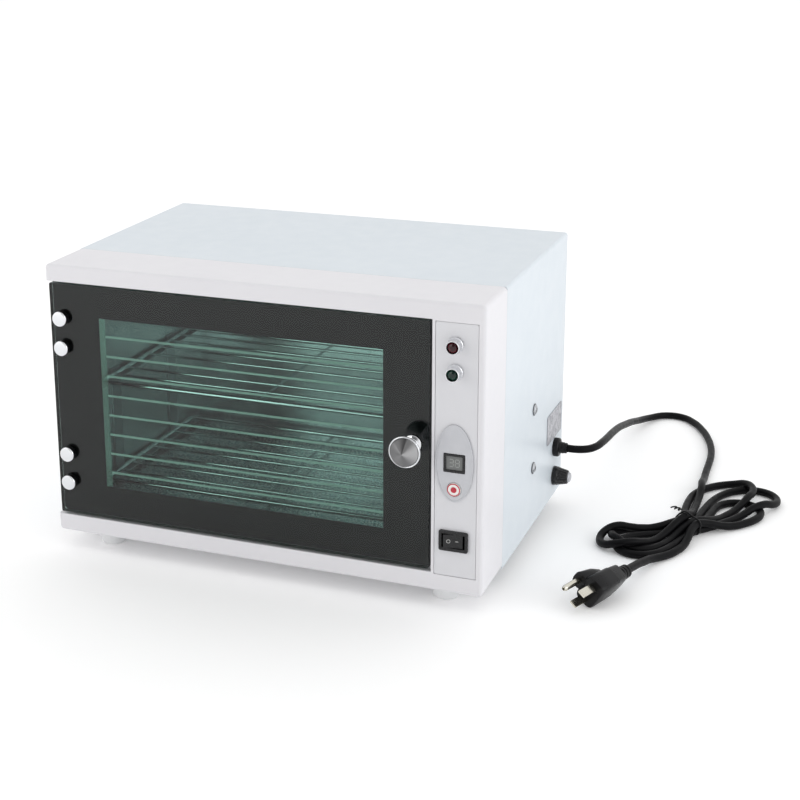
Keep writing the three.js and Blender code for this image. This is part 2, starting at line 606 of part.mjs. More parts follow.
function plugBody() {
  const grip = [[0, 0], [5.2, 0], [5.8, 2], [6.8, 12], [8.6, 15], [10.2, 24], [10.8, 38], [0, 38]];
  const lobe = new THREE.Shape();
  lobe.absarc(0, 0, 12.2, Math.PI, 2 * Math.PI);
  lobe.lineTo(12.2, 2);
  lobe.absarc(0, GROUND.offset, 6.4, 0, Math.PI);
  lobe.lineTo(-12.2, 2);
  const bevel = 1.2;
  const front = new THREE.ExtrudeGeometry(lobe, {
    depth: PLUG.front - 2 * bevel,
    bevelThickness: bevel,
    bevelSize: bevel,
    bevelOffset: -bevel,
    bevelSegments: 2,
    curveSegments: 12,
  }).rotateX(Math.PI / 2).rotateY(Math.PI);
  front.computeBoundingBox();
  front.translate(0, PLUG.face - front.boundingBox.max.y, 0);
  return seatPlug(join(turned(grip, [0, 0, 0], [0, 1, 0], 28), front));
}

function plugBlade(side) {
  const middle = (side * BLADE.spread) / 2;
  const start = PLUG.face + GAP;
  return seatPlug(box(middle - BLADE.thick / 2, middle + BLADE.thick / 2, start, start + BLADE.length,
    -BLADE.wide / 2, BLADE.wide / 2));
}

function plugGroundPin() {
  const profile = [[0, 0], [GROUND.r, 0], [GROUND.r, 17.4], [1.4, 19.2], [0, 19.6]];
  return seatPlug(turned(profile, [0, PLUG.face + GAP, GROUND.offset], [0, 1, 0], 20));
}

// ---------------------------------------------------------------- assembly
const FINISH = {
  steel: { color: 0xe6edf2, roughness: 0.38, metalness: 0.1 },
  moulding: { color: 0xe4e2e6, roughness: 0.42, metalness: 0 },
  zinc: { color: 0xb9bec2, roughness: 0.4, metalness: 0.9 },
  lining: { color: 0xc9ced1, roughness: 0.28, metalness: 0.9 },
  wire: { color: 0xd4d8da, roughness: 0.18, metalness: 1 },
  chrome: { color: 0xe8eaec, roughness: 0.08, metalness: 1 },
  glass: { color: 0x8fb8a4, roughness: 0.03, metalness: 0 },
  printBlack: { color: 0x17181a, roughness: 0.4, metalness: 0 },
  printPale: { color: 0xa9d3bd, roughness: 0.5, metalness: 0 },
  rubber: { color: 0x1d1e20, roughness: 0.6, metalness: 0 },
  greyRubber: { color: 0xc6c8c8, roughness: 0.7, metalness: 0 },
  silverPaint: { color: 0xb7b9be, roughness: 0.35, metalness: 0.4 },
  blackPlastic: { color: 0x202124, roughness: 0.45, metalness: 0 },
  whitePlastic: { color: 0xf0efec, roughness: 0.4, metalness: 0 },
  redLens: { color: 0x6e0f16, roughness: 0.1, metalness: 0 },
  greenLens: { color: 0x0d4a37, roughness: 0.1, metalness: 0 },
  brass: { color: 0xd8cfa8, roughness: 0.25, metalness: 1 },
  label: { color: 0xb5b3b0, roughness: 0.5, metalness: 0.2 },
  darkMetal: { color: 0x55585c, roughness: 0.5, metalness: 0.7 },
};

const part = new THREE.Group();
part.name = 'uv_cabinet';
part.position.copy(ORIGIN).negate();

function group(name) {
  const result = new THREE.Group();
  result.name = name;
  part.add(result);
  return result;
}

function add(parent, name, geometry, finish) {
  const mesh = new THREE.Mesh(geometry, new THREE.MeshStandardMaterial({ ...FINISH[finish] }));
  mesh.name = name;
  parent.add(mesh);
}

const body = group('case');
add(body, 'outer_shell', outerShell(), 'steel');
add(body, 'base_pan', basePan(), 'zinc');
add(body, 'rear_panel', rearPanel(), 'steel');
add(body, 'front_bezel', frontBezel(), 'moulding');
add(body, 'inner_chamber', innerChamber(), 'lining');
for (const [depth, y] of [['front', 26], ['rear', CASE_D - 26]]) {
  add(body, `foot_${depth}_left`, foot(FOOT_INSET, y), 'greyRubber');
  add(body, `foot_${depth}_right`, foot(CASE_W - FOOT_INSET, y), 'greyRubber');
}

const door = group('door');
add(door, 'door_glass', doorGlass(), 'glass');
add(door, 'door_border', doorBorder(), 'printBlack');
add(door, 'window_stripes', windowStripes(), 'printPale');
for (const [place, z] of Object.entries(HINGE_Z)) {
  add(body, `${place}_hinge_bracket`, hingeBracket(z), 'zinc');
  add(body, `${place}_hinge_pin`, hingePin(z), 'darkMetal');
  add(door, `${place}_hinge_leaf`, hingeLeaf(z), 'zinc');
  add(door, `${place}_hinge_cap_top`, hingeCap(z + CAP_OFFSET), 'chrome');
  add(door, `${place}_hinge_cap_bottom`, hingeCap(z - CAP_OFFSET), 'chrome');
}
add(door, 'door_knob', doorKnob(), 'chrome');
add(door, 'knob_screw', knobScrew(), 'zinc');
const catchBlock = (front, back) => box(CATCH.x0, CATCH.x1, front, back, CATCH.z0, CATCH.z1);
add(door, 'strike_plate', catchBlock(FILM.y1 + GAP, CATCH.strikeBack), 'zinc');
add(body, 'magnet_catch', catchBlock(CATCH.magnetFront, CATCH.magnetBack), 'darkMetal');

const inside = group('inside');
add(inside, 'rack_rails_left', rackRails('left'), 'zinc');
add(inside, 'rack_rails_right', rackRails('right'), 'zinc');
add(inside, 'upper_rack', rackFrame(RACK.upperZ), 'wire');
add(inside, 'lower_rack', rackFrame(RACK.lowerZ), 'wire');
add(inside, 'uv_tube', uvTube(), 'whitePlastic');
add(inside, 'lamp_holder_left', lampHolder('left'), 'whitePlastic');
add(inside, 'lamp_holder_right', lampHolder('right'), 'whitePlastic');

const controls = group('controls');
add(controls, 'control_panel', controlPanel(), 'moulding');
add(controls, 'oval_fascia', ovalFascia(), 'silverPaint');
add(controls, 'timer_module', timerModule(), 'blackPlastic');
add(controls, 'timer_button', timerButton(), 'whitePlastic');
for (const [colour, z] of Object.entries(LAMP_Z)) {
  add(controls, `${colour}_lamp_ring`, lampRing(z), 'silverPaint');
  add(controls, `${colour}_lamp_lens`, lampLens(z), `${colour}Lens`);
}
add(controls, 'switch_housing', switchHousing(), 'blackPlastic');
add(controls, 'switch_rocker', switchRocker(), 'blackPlastic');

const side = group('side');
add(side, 'ballast', ballast(), 'darkMetal');
add(side, 'side_screw_upper', sideScrew(SIDE_SCREW_Z.upper), 'zinc');
add(side, 'side_screw_lower', sideScrew(SIDE_SCREW_Z.lower), 'zinc');
add(side, 'rating_plate', ratingPlate(), 'label');
add(side, 'cable_gland', cableGland(), 'rubber');
add(side, 'fuse_holder', fuseHolder(), 'blackPlastic');
add(side, 'fuse_nut', fuseNut(), 'blackPlastic');
add(side, 'fuse_cartridge', fuseCartridge(), 'brass');
add(side, 'fuse_cap', fuseCap(), 'blackPlastic');

const lead = group('mains_lead');
add(lead, 'cord_lead', cordLead(), 'rubber');
add(lead, 'cord_hank', cordHank(), 'rubber');
add(lead, 'cord_tie', cordTie(), 'blackPlastic');
add(lead, 'cord_tail', cordTail(), 'rubber');
add(lead, 'plug_body', plugBody(), 'rubber');
add(lead, 'plug_blade_left', plugBlade(-1), 'brass');
add(lead, 'plug_blade_right', plugBlade(1), 'brass');
add(lead, 'plug_ground_pin', plugGroundPin(), 'brass');

export default part;
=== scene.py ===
"""Looks of the bench-top UV cabinet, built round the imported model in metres."""

import json
import math

import bmesh
import bpy
from mathutils import Matrix, Vector

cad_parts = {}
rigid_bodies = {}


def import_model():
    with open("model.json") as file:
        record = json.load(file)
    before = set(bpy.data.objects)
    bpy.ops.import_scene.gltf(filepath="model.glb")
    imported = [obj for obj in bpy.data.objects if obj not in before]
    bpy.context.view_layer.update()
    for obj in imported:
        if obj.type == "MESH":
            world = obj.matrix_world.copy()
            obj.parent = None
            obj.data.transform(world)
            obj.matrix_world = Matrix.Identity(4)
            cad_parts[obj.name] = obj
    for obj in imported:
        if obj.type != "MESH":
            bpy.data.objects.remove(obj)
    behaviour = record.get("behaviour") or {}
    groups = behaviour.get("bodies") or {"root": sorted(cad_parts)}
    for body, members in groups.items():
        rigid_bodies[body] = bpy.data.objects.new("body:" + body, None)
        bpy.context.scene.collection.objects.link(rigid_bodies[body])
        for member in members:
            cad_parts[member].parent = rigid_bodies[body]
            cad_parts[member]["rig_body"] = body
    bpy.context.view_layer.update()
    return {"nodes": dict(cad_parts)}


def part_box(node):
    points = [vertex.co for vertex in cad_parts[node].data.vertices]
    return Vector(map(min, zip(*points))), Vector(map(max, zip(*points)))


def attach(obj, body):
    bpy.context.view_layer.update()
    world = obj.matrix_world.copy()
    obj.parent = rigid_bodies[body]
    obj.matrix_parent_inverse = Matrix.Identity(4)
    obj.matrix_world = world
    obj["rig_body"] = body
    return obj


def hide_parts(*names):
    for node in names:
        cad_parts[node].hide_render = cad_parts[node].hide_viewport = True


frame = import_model()
NODES = frame["nodes"]
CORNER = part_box("front_bezel")[0]
MM = 0.001


def at(x, y, z):
    """A place measured in millimetres from the case's front bottom left corner."""
    return CORNER + Vector((x, y, z)) * MM


# ---------------------------------------------------------------- camera
CAMERA_AT = (665.32, -1056.05, 537.23)
AZIMUTH, ELEVATION, ROLL = (math.radians(a) for a in (22.333, 15.656, -0.718))
SENSOR_WIDTH = 36
FOCAL_LENGTH = 72.77
LENS_SHIFT = (0.103, -0.125)
NEAR_CLIP, FAR_CLIP = 0.05, 60


def make_camera():
    level = math.cos(ELEVATION)
    ahead = Vector((-math.sin(AZIMUTH) * level, math.cos(AZIMUTH) * level, -math.sin(ELEVATION)))
    side = ahead.cross(Vector((0, 0, 1))).normalized()
    above = side.cross(ahead)
    right = side * math.cos(ROLL) + above * math.sin(ROLL)
    up = above * math.cos(ROLL) - side * math.sin(ROLL)
    data = bpy.data.cameras.new("camera")
    data.sensor_width = SENSOR_WIDTH
    data.lens = FOCAL_LENGTH
    data.shift_x, data.shift_y = LENS_SHIFT
    data.clip_start, data.clip_end = NEAR_CLIP, FAR_CLIP
    camera = bpy.data.objects.new("camera", data)
    turn = Matrix((right, up, -ahead)).transposed().to_4x4()
    camera.matrix_world = Matrix.Translation(at(*CAMERA_AT)) @ turn
    bpy.context.scene.collection.objects.link(camera)
    bpy.context.scene.camera = camera


make_camera()

# ---------------------------------------------------------------- mains lead
CORD_D = 6.5
CURVE_STEPS = 5
# The points are places for at(). The first two lie inside the case and the bush.
LEAD = [
    (356, 212, 44), (364, 212, 44),
    (371.6, 212, 44), (379, 212.6, 43.9), (387, 216.8, 43.6), (392.4, 226.5, 43), (394.6, 242, 41.8),
    (394.8, 262, 39), (393.2, 290, 33.5), (391, 330, 24.5), (389, 372, 13), (388, 408, 3),
    (389.3, 438, -5.5), (395.5, 462, -10.2), (408, 478, -11.6), (423.5, 478.5, -11.6),
    (437.5, 466.5, -11.6), (448.5, 448.5, -11.6), (457.1, 428, -11.6), (463.7, 404.9, -11.6),
    (467.5, 381.4, -11.6), (468.9, 358.6, -11.6), (469.8, 336.2, -11.6),
]
# The three turns of the hank. A settling simulation outside this script gave these points.
HANK = [
    (470.6, 323.9, -11.5), (471.2, 312.2, -9.8), (472.1, 301, -6.7), (473.7, 289.2, -6.4),
    (474.1, 277.8, -9.4), (474, 266.1, -11.4), (474, 254.4, -11.7), (474.2, 242.6, -10.4),
    (474.8, 231.2, -7.1), (475.7, 220, -3.4), (474, 208.6, -0.6), (468.8, 198, -2.6),
    (463.6, 188.3, -6.7), (458.4, 178.1, -9.8), (453.1, 167.4, -9.8), (447.4, 157.5, -7.1),
    (439.2, 149, -4.8), (428.1, 145.7, -6.7), (418, 150.2, -10.5), (412.6, 160.7, -11.3),
    (414.4, 172.1, -8.4), (422.8, 180.1, -5.7), (433.4, 185.2, -7.6), (444, 189.6, -8.9),
    (454.8, 194.7, -7.5), (463.8, 201.6, -5.5), (470.2, 211.6, -5.7), (470.7, 222.9, -9.2),
    (468.6, 234.2, -11.5), (467.1, 246.2, -11.7), (466.6, 257.8, -11.7), (466.8, 269.6, -11.7),
    (468, 281.1, -11.7), (471.9, 292.6, -11.7), (477.8, 302.7, -11.7), (486, 311.6, -11.7),
    (497.2, 315.4, -10.3), (508, 311.9, -6.9), (515, 302.6, -5.9), (516.9, 290.9, -6.1),
    (514.8, 279.3, -5.9), (511.1, 268.5, -8.7), (506.7, 258, -11.2), (501.9, 247.2, -11.7),
    (497.1, 236.6, -11.4), (492, 226.3, -9.1), (486, 216.7, -6.1), (478.8, 207.2, -5.3),
    (473.6, 196.5, -7), (468.9, 186.1, -10.3), (465, 175, -11.7), (460.4, 164.1, -11.7),
    (452.4, 155, -11.7), (441.1, 151.2, -10.9), (430.6, 154.2, -6.6), (422.6, 162.6, -7),
    (421, 173.7, -10.8), (425.2, 184.8, -11.7), (434, 192.9, -11.7), (445.2, 197.4, -11.7),
    (456.3, 200.4, -11.7), (467.3, 205.2, -11.4), (474.6, 214.5, -11.6), (478.3, 226, -11.7),
    (480.5, 237.7, -11.7), (481.8, 249.4, -11.7), (483.4, 261.2, -11.7), (485.6, 272.6, -11.7),
    (488.9, 283.9, -11.7), (494, 294.5, -11.7), (501.7, 303.7, -11.7), (512.2, 309.3, -11.7),
    (524.2, 309.1, -11.7), (533.9, 302.2, -11.7), (537.8, 290.9, -11.6), (535.6, 279.4, -9.7),
    (529.7, 269.6, -6.6), (522.3, 260.4, -7.2), (515.8, 251.3, -10.2), (509.4, 241.4, -11.7),
    (503.1, 231.7, -11.7), (496.3, 222, -11.7), (489, 212.4, -11.7), (482.2, 202.5, -10.8),
    (477.4, 191.7, -11.7), (473.9, 179.9, -11.7), (470.3, 168.7, -11.7), (465.6, 157.5, -11.7),
    (458.8, 147.7, -11.7), (448.3, 141.8, -11.7), (436.5, 143.1, -11.7), (428.5, 151.8, -11.7),
    (427.9, 163.6, -11.7), (434, 174, -11.7), (443.5, 181.3, -11.7), (453.6, 187.2, -11.7),
    (463.4, 193.8, -11.7), (472.9, 201.3, -11.7), (480.2, 211.2, -11.7), (484.7, 222.6, -11.7),
    (487.5, 234.4, -11.7), (489.1, 246.1, -11.7), (490.6, 257.8, -11.7), (495, 269, -11.7),
    (504.3, 276.4, -11.7), (516.1, 276.5, -11.7), (525.1, 269, -11.7), (528.2, 257.4, -11.7),
    (525.4, 245.9, -11.7), (519, 235.6, -11.7), (511.4, 226.9, -11.6), (502.7, 219.1, -9.8),
    (493.8, 212.5, -6.7), (485, 204.7, -4.5), (481, 193.8, -5.6), (480.3, 182.3, -8.5),
    (478.5, 171.1, -11.2), (474.7, 159.9, -11.7), (469.6, 149.6, -11.7), (463.1, 139.8, -10.8),
]
TAIL = [
    (457.9, 129.1, -8.9), (456, 122.3, -7.8), (454.2, 115.6, -6.4), (452.1, 105.5, -4.6),
    (450.3, 95.3, -2.75), (449.3, 89.4, -1.95),
    (448.9, 88.3, -1.95),
]


def curve_object(name, points, diameter, closed=False, sides=5):
    """A round cord or wire along points given in millimetres."""
    data = bpy.data.curves.new(name, "CURVE")
    data.dimensions = "3D"
    data.resolution_u = CURVE_STEPS
    data.bevel_depth = diameter / 2 * MM
    data.bevel_resolution = sides
    data.use_fill_caps = not closed
    spline = data.splines.new("BEZIER")
    spline.bezier_points.add(len(points) - 1)
    spline.use_cyclic_u = closed
    for knot, point in zip(spline.bezier_points, points):
        knot.co = at(*point)
        knot.handle_left_type = knot.handle_right_type = "AUTO"
    piece = bpy.data.objects.new(name, data)
    bpy.context.scene.collection.objects.link(piece)
    return piece


cord = curve_object("mains_cord", LEAD + HANK + TAIL, CORD_D, sides=7)


# ---------------------------------------------------------------- materials
def srgb(r, g, b):
    """A colour given as 0 to 255 display values."""
    shares = (r / 255, g / 255, b / 255)
    linear = [c / 12.92 if c <= 0.04045 else ((c + 0.055) / 1.055) ** 2.4 for c in shares]
    return (*linear, 1)


def set_range(node, low, high, start, end):
    """Makes a range node carry the start to the low value and the end to the high one."""
    for socket, value in (("From Min", start), ("From Max", end), ("To Min", low), ("To Max", high)):
        node.inputs[socket].default_value = value


class Finish:
    """A node material whose colour, roughness and relief vary over the surface at real scale."""

    def __init__(self, name, roughness, metallic=0.0, **sockets):
        self.material = bpy.data.materials.new(name)
        self.material.use_nodes = True
        self.tree = self.material.node_tree
        self.shader = self.tree.nodes["Principled BSDF"]
        self.set("Roughness", roughness)
        self.set("Metallic", metallic)
        for socket, value in sockets.items():
            self.set(socket.replace("_", " "), value)
        self.place = self.node("ShaderNodeTexCoord").outputs["Object"]

    def set(self, socket, value):
        self.shader.inputs[socket].default_value = value

    def node(self, kind, **values):
        made = self.tree.nodes.new(kind)
        for key, value in values.items():
            setattr(made, key, value)
        return made

    def link(self, output, target):
        self.tree.links.new(output, target)

    def noise(self, size_mm, stretch=(1, 1, 1), detail=3):
        """Soft noise of a real size; a stretch above 1 draws it finer along that axis."""
        mapping = self.node("ShaderNodeMapping")
        mapping.inputs["Scale"].default_value = stretch
        self.link(self.place, mapping.inputs["Vector"])
        made = self.node("ShaderNodeTexNoise")
        made.inputs["Scale"].default_value = 1000 / size_mm
        made.inputs["Detail"].default_value = detail
        self.link(mapping.outputs["Vector"], made.inputs["Vector"])
        return made.outputs["Fac"]

    def spread(self, value, low, high, start=0.3, end=0.7):
        made = self.node("ShaderNodeMapRange")
        set_range(made, low, high, start, end)
        self.link(value, made.inputs["Value"])
        return made.outputs["Result"]

    def maths(self, operation, *values):
        """A maths node whose inputs are other nodes' outputs or plain numbers."""
        made = self.node("ShaderNodeMath", operation=operation)
        for socket, value in zip(made.inputs, values):
            if isinstance(value, float):
                socket.default_value = value
            else:
                self.link(value, socket)
        return made.outputs[0]

    def mix(self, share, first, second):
        """One shader changing to another as the share goes from 0 to 1."""
        made = self.node("ShaderNodeMixShader")
        for socket, output in zip(made.inputs, (share, first, second)):
            self.link(output, socket)
        return made.outputs[0]

    def clear(self, tint):
        made = self.node("ShaderNodeBsdfTransparent")
        made.inputs["Color"].default_value = tint
        return made.outputs[0]

    def parts(self, vector):
        """The X, Y and Z of a vector as three outputs."""
        made = self.node("ShaderNodeSeparateXYZ")
        self.link(vector, made.inputs[0])
        return made.outputs

    def surface(self, shader):
        self.link(shader, self.tree.nodes["Material Output"].inputs["Surface"])
        return self

    def paint(self, value, first, second):
        """The base colour, which goes from the first to the second as the value goes from 0 to 1."""
        made = self.node("ShaderNodeMix", data_type="RGBA")
        for socket in made.inputs:
            if socket.type == "RGBA":
                socket.default_value = first if socket.name == "A" else second
        self.link(value, made.inputs["Factor"])
        colour = next(output for output in made.outputs if output.type == "RGBA")
        self.link(colour, self.shader.inputs["Base Color"])
        return self

    def gloss(self, value, low, high):
        self.link(self.spread(value, low, high), self.shader.inputs["Roughness"])
        return self

    def relief(self, value, depth_mm, strength=1.0):
        made = self.node("ShaderNodeBump")
        made.inputs["Distance"].default_value = depth_mm * MM
        made.inputs["Strength"].default_value = strength
        self.link(value, made.inputs["Height"])
        self.link(made.outputs["Normal"], self.shader.inputs["Normal"])
        return self


def powder_coat():
    f = Finish("powder_coat", 0.36, Specular_IOR_Level=0.5)
    grain = f.noise(1.1, detail=2)
    f.paint(f.noise(90), srgb(208, 216, 222), srgb(213, 220, 226))
    f.gloss(f.noise(14), 0.30, 0.42)
    return f.relief(grain, 0.05, 0.5).material


def satin_moulding(name, *colours):
    f = Finish(name, 0.4, Specular_IOR_Level=0.45)
    f.paint(f.noise(70), *colours)
    f.gloss(f.noise(9), 0.36, 0.46)
    return f.relief(f.noise(0.7, detail=2), 0.02, 0.5).material


def plated(name, light, dark, roughness, stretch, lines=0.9, depth=0.01):
    """Plated or brushed metal: fine lines along one direction and a little staining."""
    f = Finish(name, roughness, 1.0)
    brushed = f.noise(lines, stretch, detail=4)
    stain = f.spread(f.noise(22), 0, 0.6)
    f.paint(f.maths("ADD", stain, f.spread(brushed, 0, 0.4)), dark, light)
    f.gloss(brushed, roughness * 0.8, roughness * 1.35)
    return f.relief(brushed, depth, 0.6).material


def chrome():
    f = Finish("chrome", 0.06, 1.0)
    f.paint(f.noise(5), srgb(216, 218, 221), srgb(226, 228, 230))
    f.gloss(f.noise(2.5), 0.04, 0.1)
    return f.relief(f.noise(0.8, detail=1), 0.004, 0.4).material


def spun_chrome_painted_reflections():
    """Chromed metal turned on a lathe about its own Y axis, whose base colour is a painted fan of light and
    dark reflections round its middle.
    """
    f = Finish("spun_chrome_painted_reflections", 0.3, 1.0, Anisotropic=0.85)
    turned = f.node("ShaderNodeMapping", vector_type="TEXTURE")
    low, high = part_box("door_knob")
    turned.inputs["Location"].default_value = (low + high) / 2
    turned.inputs["Rotation"].default_value = (math.radians(90), 0, 0)
    f.link(f.place, turned.inputs["Vector"])
    around = f.node("ShaderNodeTexGradient", gradient_type="RADIAL")
    f.link(turned.outputs["Vector"], around.inputs["Vector"])
    # Painted reflections: this ramp makes the base colour lighter and darker by angle round the knob's axis.
    painted_reflection_ramp = f.node("ShaderNodeValToRGB")
    painted_reflection_ramp.color_ramp.interpolation = "EASE"
    seam = 118
    painted_reflection_tones = ((0.13, 140), (0.3, 120), (0.5, 168), (0.6, 182), (0.7, 160), (0.73, 78), (0.86, 92), (0.9, seam))
    ramp = painted_reflection_ramp.color_ramp.elements
    for place, tone in painted_reflection_tones:
        ramp.new(place).color = srgb(tone, tone, tone + 1)
    for end in (ramp[0], ramp[-1]):
        end.color = srgb(seam, seam, seam + 1)
    f.link(around.outputs["Fac"], painted_reflection_ramp.inputs["Fac"])
    f.link(painted_reflection_ramp.outputs["Color"], f.shader.inputs["Base Color"])
    tangent = f.node("ShaderNodeTangent", direction_type="RADIAL", axis="Y")
    f.link(tangent.outputs[0], f.shader.inputs["Tangent"])
    return f.relief(f.noise(0.5, detail=2), 0.006, 0.5).material


def plastic(name, first, second, low, high, size=0.5, depth=0.02, **sockets):
    f = Finish(name, (low + high) / 2, **sockets)
    f.paint(f.noise(12), first, second)
    f.gloss(f.noise(4), low, high)
    return f.relief(f.noise(size, detail=2), depth, 0.6).material


def cord_sheath():
    f = Finish("cord_sheath", 0.45, IOR=1.2)
    f.paint(f.noise(18), srgb(8, 8, 10), srgb(14, 14, 16))
    f.gloss(f.noise(6), 0.38, 0.52)
    return f.relief(f.noise(0.9, detail=3), 0.03, 0.6).material


def label_foil():
    f = Finish("label_foil", 0.42, 0.3)
    patches = f.spread(f.noise(4.5, detail=3), 0, 0.6, 0.42, 0.58)
    streaks = f.spread(f.noise(2, (1, 1, 2.6), detail=2), 0, 0.4, 0.42, 0.58)
    f.paint(f.maths("ADD", patches, streaks), srgb(148, 149, 155), srgb(202, 202, 207))
    f.gloss(f.noise(3), 0.3, 0.55)
    return f.relief(f.noise(1.6), 0.03, 0.5).material


GLASS_TINT = (0.835, 0.965, 0.93, 1)
GLASS_INDEX = 1.52
LEVEL_EDGE_PAINTED_LIGHT = srgb(58, 88, 77)
UPRIGHT_EDGE_PAINTED_SHADE = srgb(38, 44, 43)


def door_pane():
    """Tinted clear glass that shines on its front face alone, with cut edges painted in solid colours:
    painted green light on the level edges and painted shade on the upright ones.
    """
    f = Finish("door_glass", 0.15)
    shine = f.node("ShaderNodeBsdfGlossy")
    shine.inputs["Roughness"].default_value = 0
    fresnel = f.node("ShaderNodeFresnel")
    fresnel.inputs["IOR"].default_value = GLASS_INDEX
    just_behind_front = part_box("door_glass")[0].y + 1 * MM
    front = f.maths("LESS_THAN", f.parts(f.place)["Y"], just_behind_front)
    mirror = f.maths("MULTIPLY", fresnel.outputs[0], front)
    sheet = f.mix(mirror, f.clear(GLASS_TINT), shine.outputs[0])
    facing = f.parts(f.node("ShaderNodeTexCoord").outputs["Normal"])
    # The cut edges are painted: green light on the level ones, darker painted shade on the upright ones.
    f.paint(f.maths("ABSOLUTE", facing["X"]), LEVEL_EDGE_PAINTED_LIGHT, UPRIGHT_EDGE_PAINTED_SHADE)
    on_face = f.maths("GREATER_THAN", f.maths("ABSOLUTE", facing["Y"]), 0.7)
    return f.surface(f.mix(on_face, f.shader.outputs[0], sheet)).material


def screen_print():
    f = Finish("screen_print", 0.6, Specular_IOR_Level=0.1)
    f.paint(f.noise(40), srgb(22, 18, 21), srgb(27, 23, 26))
    f.gloss(f.noise(3), 0.55, 0.7)
    return f.material


def pale_print():
    """Thin pale ink: dense in the level stripes, and a thin veil in the upright band at the left."""
    f = Finish("pale_print", 0.6)
    f.paint(f.noise(2.2), srgb(222, 236, 228), srgb(236, 246, 240))
    band_width, blur = 5 * MM, 0.1 * MM
    band_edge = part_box("window_stripes")[0].x + band_width
    veil = 0.24
    across = f.parts(f.place)["X"]
    stripes = f.spread(f.noise(30, (1, 1, 3)), 0.62, 0.78)
    band = f.spread(across, veil, 1, band_edge - blur, band_edge + blur)
    ink = f.maths("MULTIPLY", stripes, band)
    return f.surface(f.mix(ink, f.clear((0.9, 1, 0.95, 1)), f.shader.outputs[0])).material


def lens(name, deep, bright):
    f = Finish(name, 0.12, Specular_IOR_Level=0.45)
    # Painted sheen: the base colour goes from the deep colour where the lens faces the view to the bright one
    # at its grazing edges.
    layer = f.node("ShaderNodeLayerWeight")
    layer.inputs["Blend"].default_value = 0.35
    f.paint(layer.outputs["Facing"], deep, bright)
    return f.relief(f.noise(1.4, detail=1), 0.02, 0.4).material


POWDER = powder_coat()
MOULDING = satin_moulding("satin_moulding", srgb(220, 219, 223), srgb(225, 224, 227))
INSERT = satin_moulding("control_insert", srgb(212, 212, 216), srgb(217, 217, 220))
SCREW = plated("screw", srgb(196, 198, 201), srgb(172, 175, 179), 0.34, (1, 1, 6))
CHROME = chrome()
CHROME_PAINTED_REFLECTIONS = spun_chrome_painted_reflections()
ZINC = plated("zinc", srgb(205, 210, 214), srgb(176, 181, 186), 0.32, (1, 1, 12))
LINING = plated("lining", srgb(226, 230, 232), srgb(206, 210, 212), 0.24, (1, 1, 16), 1.2)
WIRE = plated("rack_wire", srgb(232, 236, 236), srgb(214, 218, 220), 0.16, (6, 1, 6), 0.7)
DARK_METAL = plated("dark_metal", srgb(120, 123, 127), srgb(88, 90, 94), 0.45, (1, 1, 8))
BRIGHT = plated("bright_ring", srgb(238, 239, 241), srgb(218, 219, 222), 0.3, (1, 8, 1), 0.5, 0.004)
NICKEL = plated("nickel", srgb(222, 219, 208), srgb(190, 186, 172), 0.2, (1, 6, 1), 0.6)
SILVER = plastic("silver_paint", srgb(186, 187, 192), srgb(200, 201, 205), 0.3, 0.4, 0.8, 0.006, Metallic=0.4)
BLACK = plastic("black_plastic", srgb(20, 20, 22), srgb(30, 30, 32), 0.22, 0.36, 0.4, 0.012,
                Specular_IOR_Level=0.4)
DULL_BLACK = plastic("dull_black", srgb(16, 16, 18), srgb(24, 24, 26), 0.45, 0.6, 0.5, 0.04,
                     Specular_IOR_Level=0.3)
RUBBER = plastic("moulded_pvc", srgb(11, 11, 13), srgb(18, 18, 20), 0.26, 0.38, 0.6, 0.03,
                 Specular_IOR_Level=0.24)
WHITE = plastic("white_plastic", srgb(236, 235, 231), srgb(244, 243, 240), 0.28, 0.42, 0.6, 0.015)
GREY_RUBBER = plastic("grey_rubber", srgb(228, 229, 230), srgb(238, 239, 240), 0.5, 0.7, 0.5, 0.05)
RED_INK = plastic("red_ink", srgb(178, 34, 52), srgb(192, 44, 62), 0.3, 0.42, 0.4, 0.01)
PALE_INK = plastic("pale_ink", srgb(172, 172, 170), srgb(186, 186, 184), 0.4, 0.5, 0.4, 0.01)
SCREEN = plastic("screen", srgb(108, 110, 110), srgb(120, 122, 121), 0.12, 0.2, 0.8, 0.01)
DIGIT = plastic("digit", srgb(148, 151, 148), srgb(160, 163, 159), 0.2, 0.3, 0.6, 0.01)
PHOSPHOR = plastic("lamp_glass", srgb(226, 231, 240), srgb(236, 240, 246), 0.1, 0.18, 3, 0.01,
                   Coat_Weight=0.5)
SHEATH = cord_sheath()
FOIL = label_foil()
GLASS = door_pane()
PRINT = screen_print()
PALE_PRINT = pale_print()
RED_LENS = lens("red_lens", srgb(34, 5, 11), srgb(110, 26, 38))
GREEN_LENS = lens("green_lens", srgb(4, 26, 22), srgb(20, 78, 62))


# ---------------------------------------------------------------- mesh helpers
WELD = 2e-6
ON_AXIS = 1e-6
CORNER_SHARE = 0.42
NEARLY_STRAIGHT = math.radians(168)
CORNER_STEPS = 4


def body_of(node):
    return NODES[node]["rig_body"]


def finish_piece(name, bm, material, body, replaced=(), sharp=40):
    """Turns a bmesh into a piece that rides a body, smooth except across its sharp edges."""
    bmesh.ops.recalc_face_normals(bm, faces=bm.faces)
    for face in bm.faces:
        face.smooth = True
    for edge in bm.edges:
        edge.smooth = len(edge.link_faces) == 2 and edge.calc_face_angle(0) < math.radians(sharp)
    mesh = bpy.data.meshes.new(name)
    bm.to_mesh(mesh)
    bm.free()
    mesh.materials.append(material)
    piece = bpy.data.objects.new(name, mesh)
    bpy.context.scene.collection.objects.link(piece)
    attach(piece, body)
    if replaced:
        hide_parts(*replaced)
    return piece


def ease(bm, width, segments=3, angle=38, profile=0.5):
    """Rounds over the edges that are sharper than the angle."""
    edges = [e for e in bm.edges if len(e.link_faces) == 2 and e.calc_face_angle(0) > math.radians(angle)]
    bmesh.ops.bevel(bm, geom=edges, offset=width * MM, offset_type="OFFSET", segments=segments,
                    profile=profile, affect="EDGES", clamp_overlap=True)
    return bm


